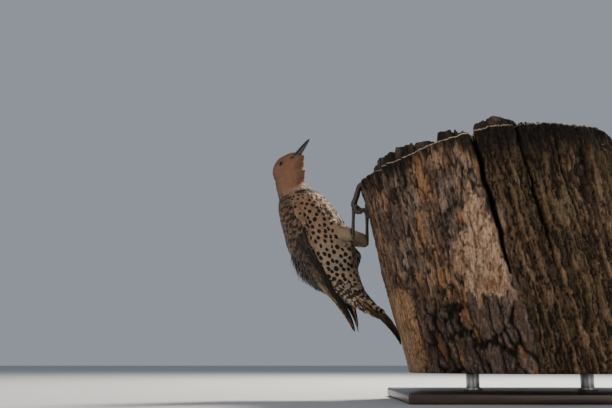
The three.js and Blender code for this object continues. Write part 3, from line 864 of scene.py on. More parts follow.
def spotSize(points):
    length, turn, _ = bodyPlace(points)
    z = points[:, 2]
    small = mix(1.0, 0.62, ramp(z, 205, 228))
    small *= 1 - 0.25 * (1 - ramp(z, 112, 130))
    return small


def wantsSpot(points):
    length, turn, _ = bodyPlace(points)
    z = points[:, 2]
    _, belongs, _ = thighShare(points)
    return (z < 226.5) & (z > 126) & (np.abs(turn) < 112) & (belongs < 0.1)


def makeSpots():
    rng = np.random.default_rng(spotPlan["seed"])
    roots = scatterRoots(rng, 26000, lambda p: spotPlan["spacing"] * mix(0.72, 1.0, spotSize(p)), wantsSpot)
    roots = roots[~underWing(roots, 2.6)]
    spots, normals = skinMap.nearest(roots)
    ways = lieAt(spots, normals)
    size = spotSize(roots) * (1 + rng.normal(0, 0.1, len(roots)))
    length = spotPlan["length"] * size
    width = spotPlan["width"] * size * (1 + rng.normal(0, 0.08, len(roots)))
    lift = np.full(len(roots), spotPlan["top"])

    def color(points, which, along):
        return np.tile(tone["black"], (len(points), 1)) * (1 + 0.5 * along[:, None])

    return makeVanes("breastSpots", roots, ways, length, width, lift, "blot", rng, featherPaint, color,
                     sunk=-spotPlan["bottom"], jitter=10, fray=0.14, thick=0.07, camber=0.1)


makeSpots()
print("spots laid")



# ---- long feathers: each one its own blade, laid along a line ----

bladeColumns = np.array([0.0, 0.22, 0.5, 0.78, 1.0])


def bladePoints(lines, ups, widths, thick, camber, shaftRise=0.18, lopsided=0.5):
    # lines: feathers x rows x 3; each row has five points over the top and three under
    tangent = unit(np.gradient(lines, axis=1))
    across = unit(np.cross(ups, tangent))
    up = np.cross(tangent, across)
    offsets = bladeColumns - lopsided
    rows = []
    for column, offset in zip(bladeColumns, offsets):
        sag = camber * (offset * 2) ** 2
        rise = shaftRise if column == 0.5 else 0.0
        edge = 0.25 if column in (0.0, 1.0) else 1.0
        lifted = (-sag * widths * 0.5 + rise) + thick * 0.5 * edge * (column not in (0.0, 1.0))
        rows.append(lines - across * (offset * widths)[..., None] + up * lifted[..., None])
    for column in (0.78, 0.5, 0.22):
        offset = column - lopsided
        sag = camber * (offset * 2) ** 2
        lowered = -sag * widths * 0.5 - thick * 0.5
        rows.append(lines - across * (offset * widths)[..., None] + up * lowered[..., None])
    return np.stack(rows, axis=2)


def bladeFaces(count, steps):
    quads = []
    for i in range(steps - 1):
        for k in range(8):
            a, b = i * 8 + k, i * 8 + (k + 1) % 8
            quads.append((a, b, b + 8, a + 8))
    last = (steps - 1) * 8
    quads += [(0, 7, 2, 1), (7, 6, 3, 2), (6, 5, 4, 3)]
    quads += [(last + 1, last + 2, last + 7, last), (last + 2, last + 3, last + 6, last + 7),
              (last + 3, last + 4, last + 5, last + 6)]
    one = np.array(quads)
    return (one[None] + (np.arange(count) * steps * 8)[:, None, None]).reshape(-1, 4)


def makeBlades(name, lines, ups, widths, material, colors, thick=0.22, camber=0.16, replaced=(),
               shaftRise=0.12, phase=0.0):
    # colors: one r, g, b for each point, feathers x rows x 8 x 3
    count, steps = lines.shape[:2]
    points = bladePoints(lines, ups, widths, thick, camber, shaftRise)
    piece = makePiece(name, points.reshape(-1, 3), bladeFaces(count, steps), material, replaced)
    paint(piece, "plumageColor", np.broadcast_to(colors, points.shape).reshape(-1, 3))
    mesh = piece.data
    loops = np.empty(len(mesh.loops), dtype=np.int32)
    mesh.loops.foreach_get("vertex_index", loops)
    which, corner = loops // (steps * 8), loops % (steps * 8)
    u = np.tile([0, 0.22, 0.5, 0.78, 1.0, 0.78, 0.5, 0.22], steps)
    v = np.repeat(np.linspace(0, 1, steps), 8)
    vane = mesh.uv_layers.new(name="vane")
    start = np.random.default_rng(count).uniform(-phase, phase, count)
    local = np.stack([u, v], axis=1)[corner]
    local[:, 1] += start[which]
    vane.data.foreach_set("uv", local.astype(np.float32).ravel())
    side = int(math.ceil(math.sqrt(count)))
    over = np.tile([0.04, 0.16, 0.32, 0.48, 0.6, 0.72, 0.84, 0.95], steps)
    local = np.stack([over, 0.03 + 0.94 * v], axis=1)[corner]
    cell = np.stack([which % side, which // side], axis=1)
    bake = mesh.uv_layers.new(name="OFBake")
    bake.data.foreach_set("uv", ((cell + local) / side).astype(np.float32).ravel())
    mesh.uv_layers.active = vane
    return piece


def barredMaterial(name, bars, darkness, shaftColor, shaftHalf=0.035, slantOf=0.22, roughness=0.6, middle=None):
    # bars of black across a feather, from its own map; middle keeps them off its edges
    material, tree, shader = newMaterial(name)
    color = addNode(tree, "ShaderNodeAttribute", attribute_name="plumageColor").outputs["Color"]
    vane = addNode(tree, "ShaderNodeUVMap", uv_map="vane").outputs["UV"]
    split = addNode(tree, "ShaderNodeSeparateXYZ", {0: vane})
    off = mathNode(tree, "ABSOLUTE", mathNode(tree, "SUBTRACT", split.outputs["X"], 0.5))
    coords = addNode(tree, "ShaderNodeTexCoord").outputs["Object"]
    wander = addNode(tree, "ShaderNodeTexNoise", {"Vector": coords, "Scale": 160.0, "Detail": 1.0}).outputs["Fac"]
    slant = mathNode(tree, "MULTIPLY_ADD", off, slantOf, split.outputs["Y"])
    drift = mathNode(tree, "MULTIPLY_ADD", wander, 0.9 / bars, slant)
    wave = mathNode(tree, "SINE", mathNode(tree, "MULTIPLY", drift, bars * 2 * math.pi))
    bar = addNode(tree, "ShaderNodeMapRange", {0: wave, 1: -0.05, 2: 0.3, 3: 0.0, 4: darkness}).outputs[0]
    if middle is not None:
        ragged = mathNode(tree, "MULTIPLY_ADD", mathNode(tree, "SUBTRACT", wander, 0.5), 0.5, off)
        inside = addNode(tree, "ShaderNodeMapRange", {0: ragged, 1: middle, 2: middle + 0.07, 3: 1.0, 4: 0.0}).outputs[0]
        bar = mathNode(tree, "MULTIPLY", bar, inside)
    dark = mixColor(tree, bar, color, (0.014, 0.010, 0.008, 1))
    onShaft = addNode(tree, "ShaderNodeMapRange", {0: off, 1: shaftHalf * 0.6, 2: shaftHalf, 3: 1.0, 4: 0.0}).outputs[0]
    outward = addNode(tree, "ShaderNodeMapRange", {0: split.outputs["Y"], 1: 0.45, 2: 0.6, 3: 0.1, 4: 1.0}).outputs[0]
    shafted = mixColor(tree, mathNode(tree, "MULTIPLY", onShaft, outward), dark, (*shaftColor, 1))
    barb = mathNode(tree, "SUBTRACT", split.outputs["Y"], mathNode(tree, "MULTIPLY", off, 0.35))
    lines = mathNode(tree, "SINE", mathNode(tree, "MULTIPLY", barb, 70 * 2 * math.pi))
    fine = addNode(tree, "ShaderNodeTexNoise", {"Vector": coords, "Scale": 500.0, "Detail": 3.0}).outputs["Fac"]
    shade = mathNode(tree, "MULTIPLY", mathNode(tree, "MULTIPLY_ADD", fine, 0.6, 0.7),
                     mathNode(tree, "MULTIPLY_ADD", lines, 0.05, 1.0))
    scaled = addNode(tree, "ShaderNodeVectorMath", {0: shafted, "Scale": shade}, operation="SCALE").outputs[0]
    tree.links.new(scaled, shader.inputs["Base Color"])
    shader.inputs["Roughness"].default_value = roughness
    shader.inputs["Sheen Weight"].default_value = 0.06
    shader.inputs["Specular IOR Level"].default_value = 0.25
    bump = addNode(tree, "ShaderNodeBump", {"Height": lines, "Strength": 0.3, "Distance": 0.0001})
    tree.links.new(bump.outputs[0], shader.inputs["Normal"])
    return material


wingTones = {
    "covert": np.array((0.160, 0.098, 0.061)),
    "tertial": np.array((0.145, 0.089, 0.055)),
    "primary": np.array((0.022, 0.016, 0.013)),
    "primaryEdge": np.array((0.50, 0.33, 0.12)),
    "yellow": np.array((0.62, 0.36, 0.06)),
    "shaft": (0.60, 0.33, 0.05),
    "darkShaft": (0.05, 0.035, 0.025),
}
covertPaint = barredMaterial("barredCoverts", 2.1, 0.97, wingTones["darkShaft"], 0.03, 0.3, 0.65, 0.34)
tertialPaint = barredMaterial("barredTertials", 7.0, 0.95, wingTones["darkShaft"], 0.03, 0.2, 0.6, 0.36)
primaryPaint = barredMaterial("darkPrimaries", 9.0, 0.8, wingTones["shaft"], 0.05, 0.1, 0.55)


def wingFrame(sign, t, u):
    step = 0.004
    place = wingSurface(sign, t, u)
    down = wingSurface(sign, np.minimum(t + step, 1), u) - wingSurface(sign, np.maximum(t - step, 0), u)
    over = wingSurface(sign, t, u + 0.02) - wingSurface(sign, t, u - 0.02)
    normal = unit(np.cross(down, over))
    normal = np.where((normal[..., 1:2] * sign) < 0, -normal, normal)
    return place, normal


def bladeProfile(v, tipStart, tipWidth, rootWidth=0.5):
    # half width along a feather: from its quill, full, then rounded to its tip
    grow = rootWidth + (1 - rootWidth) * ramp(v, 0.0, 0.25)
    past = np.clip((v - tipStart) / (1 - tipStart), 0, 1)
    return grow * (tipWidth + (1 - tipWidth) * np.sqrt(np.maximum(1 - past ** 2, 0)))


def makeWing(sign, side):
    rng = np.random.default_rng(21 if sign < 0 else 22)
    # the small and middle coverts and the feathers over the shoulder, in staggered rows
    rowsT = np.linspace(-0.02, 0.47, 14)
    starts, columns = [], []
    for i, t in enumerate(rowsT):
        wide = 6 if t < 0.08 else 8
        for k in range(wide):
            column = (k + 0.5 * (i % 2)) / (wide - 0.5) + rng.normal(0, 0.012)
            if column >= wingEdge(t + 0.06) and not (column < 0.42 and t > 0.27):
                starts.append(t + rng.normal(0, 0.006))
                columns.append(column)
    starts, columns = np.array(starts), np.array(columns)
    count, steps = len(starts), 12
    v = np.linspace(0, 1, steps)
    lengthT = mix(0.085, 0.14, ramp(starts, 0.0, 0.5)) * (1 + rng.normal(0, 0.05, count))
    t = starts[:, None] + lengthT[:, None] * v[None]
    u = columns[:, None] + rng.normal(0, 0.015, count)[:, None] * v[None]
    place, up = wingFrame(sign, t, u)
    height = 0.1 + (1.25 + 0.25 * rng.random(count))[:, None] * v[None] ** 0.9
    lines = place + up * height[..., None] - up * 0.7
    width = mix(6.5, 10.5, ramp(starts, 0.0, 0.4))[:, None] * bladeProfile(v, 0.6, 0.12)[None]
    ground = wingTones["covert"] * (1 + rng.normal(0, 0.09, (count, 1))) * (1 - 0.35 * ramp(starts, 0.25, 0.45))[:, None]
    colors = np.broadcast_to(ground[:, None, None, :], (count, steps, 8, 3))
    makeBlades("wingCoverts_" + side, lines, up, width, covertPaint, colors, thick=0.16, camber=0.12, phase=0.16)

    # the tertials and secondaries, the innermost on top
    count, steps = 7, 26
    k = np.arange(count)
    v = np.linspace(0, 1, steps)
    t0, t1 = 0.34 + 0.02 * k - 0.16 * (k > 3), 0.60 + 0.035 * k
    t = t0[:, None] + (t1 - t0)[:, None] * v[None]
    u0, u1 = 0.86 - 0.125 * k, 0.72 - 0.085 * k
    u = u0[:, None] + (u1 - u0)[:, None] * v[None]
    place, up = wingFrame(sign, t, u)
    height = 0.35 + 0.16 * (count - k)[:, None] + 0.35 * v[None]
    lines = place + up * height[..., None] - up * 1.0
    width = (12.5 - 0.45 * k)[:, None] * bladeProfile(v, 0.78, 0.1)[None]
    ground = wingTones["tertial"] * (1 + rng.normal(0, 0.05, (count, 1)))
    colors = np.array(np.broadcast_to(ground[:, None, None, :], (count, steps, 8, 3)))
    # the secondaries are painted near black: partly their own dark edges, partly painted shade along the folded wing's
    # edge
    colors[4:] = wingTones["primary"] * 1.5
    makeBlades("tertials_" + side, lines[:4], up[:4], width[:4], tertialPaint, colors[:4], thick=0.25, camber=0.14,
               phase=0.1)
    makeBlades("secondaries_" + side, lines[4:], up[4:], width[4:], primaryPaint, colors[4:], thick=0.25, camber=0.14)

    # the primaries, stacked towards the wing's tip
    count, steps = 8, 30
    k = np.arange(count)
    v = np.linspace(0, 1, steps)
    t0, t1 = 0.44 + 0.012 * k, 0.80 + 0.0275 * k
    t = t0[:, None] + (t1 - t0)[:, None] * v[None]
    u0, u1 = 0.62 - 0.075 * k, 0.80 - 0.085 * k
    u = u0[:, None] + (u1 - u0)[:, None] * v[None] ** 1.2
    place, up = wingFrame(sign, t, u)
    height = -0.9 + 0.13 * (count - k)[:, None] + 0.0 * v[None]
    lines = place + up * height[..., None]
    shrink = mix(1.0, 0.55, ramp(t, 0.72, 1.0))
    width = 9.5 * bladeProfile(v, 0.72, 0.08)[None] * shrink
    colors = np.empty((count, steps, 8, 3))
    colors[:] = wingTones["primary"]
    outerColumns = (0, 7) if sign > 0 else (4, 5)
    edge = (0.35 + 0.3 * np.sin(v * 2 * math.pi * 7 + 1) > 0.25)[None, :, None]
    for column in outerColumns[:1]:
        colors[:, :, column] = np.where(edge, wingTones["primaryEdge"], wingTones["primary"])
    colors[:, :, 5:8] = mix(wingTones["yellow"], wingTones["primary"], ramp(v, 0.6, 0.8)[None, :, None, None])
    makeBlades("primaryFeathers_" + side, lines, up, width, primaryPaint, colors, thick=0.24, camber=0.1,
               replaced=("primaries_" + side,))


def bladesOnSkin(name, roots, length, width, lift, material, ground, rng, steps=10, tipStart=0.6, tipWidth=0.12,
                 phase=0.0, straight=0.25, aim=None):
    # feathers that follow the skin from their roots along the body
    spots, normals = skinMap.nearest(roots)
    ways = lieAt(spots, normals)
    ways = unit(ways + np.cross(normals, ways) * rng.normal(0, 0.1, (len(roots), 1)))
    v = np.linspace(0, 1, steps)
    if aim is not None:
        ways = unit(ways + aim)
    far = roots[:, None] + ways[:, None] * (length[:, None] * v[None])[..., None]
    place, up = skinMap.nearest(far.reshape(-1, 3))
    place, up = place.reshape(far.shape), up.reshape(far.shape)
    straight = np.zeros((len(roots), 1, 1)) + straight
    up = unit(mix(up, normals[:, None], np.clip(straight * 1.4 - 0.35, 0, 1)))
    height = -0.2 + (lift[:, None] + 0.3) * v[None] ** 0.9
    lines = mix(place, far, straight) + up * height[..., None]
    blade = width[:, None] * bladeProfile(v, tipStart, tipWidth)[None]
    colors = np.broadcast_to(ground[:, None, None, :], (len(roots), steps, 8, 3))
    return makeBlades(name, lines, up, blade, material, colors, thick=0.14, camber=0.12, phase=phase)


def makeBack():
    rng = np.random.default_rng(41)

    def onBack(points):
        _, turn, _ = bodyPlace(points)
        return (points[:, 2] < 224) & (points[:, 2] > 158) & (np.abs(turn) > 116)

    roots = scatterRoots(rng, 9000, lambda p: np.full(len(p), 4.4), onBack)
    count = len(roots)
    ground = wingTones["covert"] * 0.95 * (1 + rng.normal(0, 0.08, (count, 1)))
    bladesOnSkin("backFeathers", roots, 13 * (1 + rng.normal(0, 0.06, count)), 8.0 * (1 + rng.normal(0, 0.06, count)),
                 np.full(count, 1.75), covertPaint, ground, rng, phase=0.16)
    print("back", count, "feathers")


chevronPaint = barredMaterial("chevronUndertail", 1.32, 0.96, wingTones["darkShaft"], 0.03, -0.4, 0.7, 0.42)


# the tail's line: x, y, z, half its thickness, half its width
tailRows = [
    (44, 0, 126, 1.6, 9), (60, 0, 113.5, 2, 13), (78, 0, 99, 1.9, 16.5), (94, -0.5, 85, 1.6, 18.5),
    (105.5, -1, 72.5, 1.2, 17), (112.2, -2, 62.5, 0.8, 11), (114.6, -2.5, 56.5, 0.5, 3.5),
]


def makeUndertail():
    rng = np.random.default_rng(43)

    def underTail(points):
        _, turn, _ = bodyPlace(points)
        return (points[:, 2] < 134) & (points[:, 2] > 94) & (np.abs(turn) < 110)

    path = curveThrough(tailRows, 300)
    axis = unit(path[60, :3] - path[0, :3])
    roots = scatterRoots(rng, 9000, lambda p: np.full(len(p), 3.9), underTail)
    roots = roots[skinMap.nearest(roots)[1] @ axis < 0.5]
    count = len(roots)
    ground = tone["vent"] * 1.15 * (1 + rng.normal(0, 0.06, (count, 1)))
    near = ramp(128 - roots[:, 2], 0, 16)[:, None]
    bladesOnSkin("undertailFeathers", roots, 14 * (1 + rng.normal(0, 0.08, count)), 6.0 * (1 + rng.normal(0, 0.06, count)),
                 np.full(count, 1.5), chevronPaint, ground, rng, phase=0.1, straight=mix(0.25, 0.95, near)[:, :, None],
                 aim=axis * near)

    # and on along the underside of the tail, in staggered rows
    lengths = np.concatenate([[0], np.cumsum(np.linalg.norm(np.diff(path[:, :3], axis=0), axis=1))])
    starts, offs = [], []
    for i in range(9):
        for k in range(5):
            starts.append(-5.0 + 3.9 * i + rng.normal(0, 0.4))
            offs.append((k - 2 + 0.5 * (i % 2) - 0.25) / 2.2 + rng.normal(0, 0.04))
    starts, offs = np.array(starts), np.array(offs)
    count, steps = len(starts), 10
    v = np.linspace(0, 1, steps)
    at = starts[:, None] + 13.5 * v[None]
    rows = np.stack([np.interp(at, lengths, path[:, c]) for c in range(5)], axis=-1)
    rows[..., :3] += np.minimum(at, 0)[..., None] * axis
    slope = np.stack([np.interp(at, lengths, np.gradient(path[:, c], lengths)) for c in range(3)], axis=-1)
    across = np.broadcast_to(np.array([0.0, 1, 0]), slope.shape)
    up = unit(np.cross(slope, across))
    up = up * np.sign(up[..., :1])
    wide = np.interp(at, [-5, 10, 40], [6.5, 6.5, 6.0])
    height = 1.5 - 0.7 * ramp(starts, -5, 30)[:, None] + 0.5 * v[None] - 1.5 * np.abs(offs)[:, None] ** 2
    lines = rows[..., :3] + across * (offs[:, None] * wide)[..., None] + up * height[..., None]
    blade = 5.4 * bladeProfile(v, 0.55, 0.15)[None] * np.ones((count, 1))
    ground = tone["vent"] * 1.15 * (1 + rng.normal(0, 0.06, (count, 1)))
    colors = np.broadcast_to(ground[:, None, None, :], (count, steps, 8, 3))
    makeBlades("tailCoverts", lines, up, blade, chevronPaint, colors, thick=0.14, camber=0.12, phase=0.1)
    print("undertail", count, "feathers")


fluffPlan = {"seed": 51, "down": 2.0, "length": 15.0, "width": 1.9, "lift": 5.4, "hairs": 260, "hairLength": 17.0, "hairLift": 8.0}


def makeFluff():
    # loose grey down over the rump, with single hairs standing off it
    rng = np.random.default_rng(fluffPlan["seed"])

    def onRump(points):
        _, turn, _ = bodyPlace(points)
        return (points[:, 2] < 172) & (points[:, 2] > 126) & (np.abs(turn) > 104)

    def color(points, which, along):
        return tone["rump"] * (0.8 + 0.9 * along[:, None])

    roots = scatterRoots(rng, 9000, lambda p: np.full(len(p), fluffPlan["down"]), onRump)
    count = len(roots)
    spots, normals = skinMap.nearest(roots)
    ways = lieAt(spots, normals)
    near = 1 - ramp(np.abs(roots[:, 2] - 152), 8, 24)
    lift = fluffPlan["lift"] * (0.4 + 0.6 * near) * rng.uniform(0.6, 1.3, count)
    length = fluffPlan["length"] * rng.uniform(0.75, 1.15, count)
    makeVanes("rumpDown", roots, ways, length, np.full(count, fluffPlan["width"]), lift, "soft", rng, featherPaint, color,
              jitter=22.0, fray=0.3, thick=0.06, camber=0.1)
    chosen = rng.choice(count, min(count, fluffPlan["hairs"]), replace=False)
    length = fluffPlan["hairLength"] * rng.uniform(0.6, 1.2, len(chosen))
    lift = fluffPlan["hairLift"] * (0.35 + 0.65 * near[chosen]) * rng.uniform(0.5, 1.2, len(chosen))
    makeVanes("rumpHairs", roots[chosen], ways[chosen], length, np.full(len(chosen), 0.42), lift, "hair", rng, featherPaint,
              color, jitter=26.0, fray=0.2, thick=0.1, camber=0.0)
    print("rump", count, "down feathers")


makeWing(-1, "right")
makeWing(1, "left")
makeBack()
makeUndertail()
makeFluff()
print("wings, back, undertail and rump laid")


# ---- the tail ----



def makeTail():
    rng = np.random.default_rng(31)
    count, steps = 10, 34
    slot = np.array([-5, -4, -3, -2, -1, 1, 2, 3, 4, 5], dtype=float)
    share = (np.abs(slot) - 0.6) / 4.6 * np.sign(slot)
    v = np.linspace(0, 1, steps)
    path = curveThrough(tailRows, 300)
    lengths = np.concatenate([[0], np.cumsum(np.linalg.norm(np.diff(path[:, :3], axis=0), axis=1))])
    total = lengths[-1]
    reach = 1.0 - 0.30 * np.abs(share) ** 1.4
    at = (v[None] * reach[:, None]) * total
    rows = np.stack([np.interp(at, lengths, path[:, c]) for c in range(5)], axis=-1)
    slope = np.stack([np.interp(at, lengths, np.gradient(path[:, c], lengths)) for c in range(3)], axis=-1)
    across = np.zeros_like(slope)
    across[..., 1] = 1.0
    dorsal = unit(np.cross(slope, across))
    dorsal = np.where(dorsal[..., 2:3] > 0, dorsal, dorsal)
    fan = np.interp(v, [0, 0.45, 0.8, 1], [5.5, 14.0, 16.5, 15.0])
    off = share[:, None] * np.minimum(fan[None], rows[..., 4] * 0.95 + 2)
    stack = (0.55 - np.abs(share))[:, None] * 1.5
    back = dorsal if dorsal[0, 0, 0] < 0 else -dorsal
    lines = rows[..., :3] + across * off[..., None] + back * stack[..., None]
    width = np.where(np.abs(slot) < 2, 10.5, 9.5)[:, None] * bladeProfile(v, 0.62, 0.03, 0.6)[None]
    width[:, -1] *= 0.5
    colors = np.empty((count, steps, 8, 3))
    tip = ramp(v, 0.62, 0.78)[None, :, None, None]
    colors[:, :, :5] = wingTones["primary"] * 0.8
    colors[:, :, 5:8] = mix(wingTones["yellow"], wingTones["primary"] * 0.7, tip)
    # the outermost feathers show pale notches along their outer edge
    for index, column in ((0, 4), (9, 0)):
        notches = (np.sin(v * 2 * math.pi * 8) > 0.15)[:, None]
        colors[index, :, column] = np.where(notches, (0.42, 0.34, 0.22), wingTones["primary"])
    return makeBlades("tailFeathers", lines, back, width, tailPaint, colors, thick=0.5, camber=0.08,
                      replaced=("tail",), shaftRise=0.3)


tailPaint = barredMaterial("tailFeatherPaint", 6.0, 0.0, wingTones["shaft"], 0.07, 0.1, 0.4)
makeTail()
print("tail laid")


# ---- the cut length of trunk ----

logPlan = {
    "columns": 580, "wallRows": 160, "topRows": 56,
    "radius": 142.0, "lean": 13.4, "bottom": 28.0, "top": 262.0,
    "outward": 3.2,    # how far the bark's highest parts stand out from the outline
    "crackTurn": 254.9, "crackEnd": 118.0, "crackHalf": 2.0, "crackDepth": 15.0,
}
leanSlope = math.tan(math.radians(logPlan["lean"]))
perDegree = logPlan["radius"] * math.pi / 180
# height of the bark's edge by direction in degrees, then of the bare wood inside it
rimHeights = np.array([[0, 265], [45, 264], [90, 256], [130, 238], [158, 231], [180, 230], [192, 228.5], [209, 232],
                       [230, 242], [247, 250.5], [262, 257.5], [280, 261], [300, 263], [329, 272], [360, 265]])
woodHeights = np.array([[0, 266], [90, 264], [150, 256], [190, 249], [204, 247], [207, 251], [218, 254], [228, 252.5],
                        [239, 250.5], [240.5, 259.5], [248.3, 260], [249.3, 254.5], [253, 254.5], [254.5, 258],
                        [258, 264], [264, 269], [270, 269.5], [274, 265.5], [282, 264.5], [296, 265], [312, 269],
                        [329, 274], [360, 266]])
peeledEdge = np.array([[250.4, 207], [247.5, 196], [246.8, 184], [243.5, 176], [243.8, 163], [238.5, 154], [235, 149],
                       [236.5, 140], [234.8, 128], [238, 117], [236.0, 108], [240, 99], [244.4, 103], [248, 97],
                       [251.5, 103], [253.6, 114], [253.2, 134], [252.2, 156], [252.4, 190]])
orangeEdge = np.array([[170, 112], [190, 106], [200, 102], [207, 94], [207.5, 60], [204, 26], [203, 10], [170, 10]])


def cornerHash(x, y, z, seed):
    h = x.astype(np.uint32) * np.uint32(374761393) + y.astype(np.uint32) * np.uint32(668265263)
    h = h + z.astype(np.uint32) * np.uint32(2147483647) + np.uint32(seed * 362437)
    h = (h ^ (h >> np.uint32(13))) * np.uint32(1274126177)
    h = (h ^ (h >> np.uint32(15))) * np.uint32(2246822519)
    return ((h ^ (h >> np.uint32(16))) & np.uint32(0xFFFFFF)) / float(0xFFFFFF)


def softNoise(points, seed=0):
    # smooth noise from 0 to 1
    low = np.floor(points).astype(np.int64)
    f = points - low
    f = f * f * (3 - 2 * f)
    total = np.zeros(points.shape[:-1])
    for dx in (0, 1):
        for dy in (0, 1):
            for dz in (0, 1):
                weight = (f[..., 0] if dx else 1 - f[..., 0]) * (f[..., 1] if dy else 1 - f[..., 1])
                weight = weight * (f[..., 2] if dz else 1 - f[..., 2])
                total += weight * cornerHash(low[..., 0] + dx, low[..., 1] + dy, low[..., 2] + dz, seed)
    return total


def layered(points, octaves=3, seed=0):
    total, size, whole = 0.0, 1.0, 0.0
    for octave in range(octaves):
        total = total + softNoise(points * 2.03 ** octave, seed + octave) * size
        whole += size
        size *= 0.5
    return total / whole


def platesNoise(points, seed=0):
    # distance to the edge of the nearest cell, and a random number for each cell
    low = np.floor(points).astype(np.int64)
    near = np.full(points.shape[:-1], 9.0)
    second = np.full(points.shape[:-1], 9.0)
    mark = np.zeros(points.shape[:-1])
    for dx in (-1, 0, 1):
        for dy in (-1, 0, 1):
            for dz in (-1, 0, 1):
                cx, cy, cz = low[..., 0] + dx, low[..., 1] + dy, low[..., 2] + dz
                dot = np.stack([cx + cornerHash(cx, cy, cz, seed), cy + cornerHash(cx, cy, cz, seed + 7),
                                cz + cornerHash(cx, cy, cz, seed + 13)], axis=-1)
                gap = np.linalg.norm(points - dot, axis=-1)
                closer = gap < near
                second = np.where(closer, near, np.minimum(second, gap))
                mark = np.where(closer, cornerHash(cx, cy, cz, seed + 29), mark)
                near = np.where(closer, gap, near)
    return second - near, mark


def insideShare(edge, turn, z, soft):
    # 1 inside a closed outline of directions and heights, fading over soft millimetres at its edge
    dots = edge * [perDegree, 1.0]
    px, py = turn * perDegree, z
    inside = np.zeros(px.shape, dtype=bool)
    gap = np.full(px.shape, 1e9)
    for (ax, ay), (bx, by) in zip(dots, np.roll(dots, -1, axis=0)):
        rise = (by - ay) or 1e-9
        crossing = ((ay > py) != (by > py)) & (px < (bx - ax) * (py - ay) / rise + ax)
        inside ^= crossing
        t = np.clip(((px - ax) * (bx - ax) + (py - ay) * (by - ay)) / ((bx - ax) ** 2 + (by - ay) ** 2), 0, 1)
        gap = np.minimum(gap, np.hypot(px - ax - t * (bx - ax), py - ay - t * (by - ay)))
    return ramp(np.where(inside, gap, -gap), -soft, soft)


def blend(color, other, share):
    # share has one number for each color
    other = np.asarray(other, dtype=float)
    return color + (other - color) * np.asarray(share)[..., None]


def angleGap(deg, at):
    return ((deg - at + 180) % 360) - 180


def logAxis(z):
    return -34 + (219 - z) * leanSlope


def trunkReach(turn, z):
    facets = 2.6 * np.sin(3 * turn + 0.7) + 1.8 * np.sin(7 * turn + 2.1) + 1.1 * np.sin(13 * turn + 0.4)
    hollow = -9 * np.exp(-((np.degrees(turn) - 161) / 12) ** 2)
    return logPlan["radius"] + facets * 0.8 + hollow + 1.2 * np.sin(z / 23 + 3 * turn)


def gripPoints():
    # where claws and tail meet the bark, as direction and height
    spots = []
    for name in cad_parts:
        if name.startswith("claw") or name == "tail":
            places = toPart(nodeMesh(name)[0]) / mm
            turn = np.arctan2(places[:, 1], places[:, 0] - logAxis(places[:, 2])) % (2 * math.pi)
            reach = np.hypot(places[:, 1], places[:, 0] - logAxis(places[:, 2]))
            off = reach - trunkReach(turn, places[:, 2])
            closest = np.argsort(off)[:1 if name == "tail" else 3]
            spots.extend((math.degrees(turn[i]), places[i, 2]) for i in closest if off[i] < 3)
    return spots


# the near-black crack tone is painted shade in the bark's gaps, furrows, cracks and splits; in the orange wood it also
# draws dark grain lines
barkTones = {
    "grey": (0.108, 0.080, 0.063), "lightGrey": (0.228, 0.173, 0.135), "reddish": (0.103, 0.057, 0.036),
    "tan": (0.268, 0.171, 0.107), "orange": (0.296, 0.150, 0.066), "thick": (0.105, 0.080, 0.068),
    "darkWood": (0.041, 0.027, 0.018), "wood": (0.125, 0.080, 0.049), "paleWood": (0.228, 0.157, 0.098),
    "moss": (0.075, 0.062, 0.026), "crack": (0.010, 0.007, 0.005), "char": (0.0105, 0.009, 0.0085),
    "peeled": (0.422, 0.291, 0.196), "peeledDark": (0.262, 0.169, 0.107), "amber": (0.308, 0.171, 0.082),
    "amberLight": (0.340, 0.228, 0.140), "rimLight": (0.62, 0.47, 0.33),
}


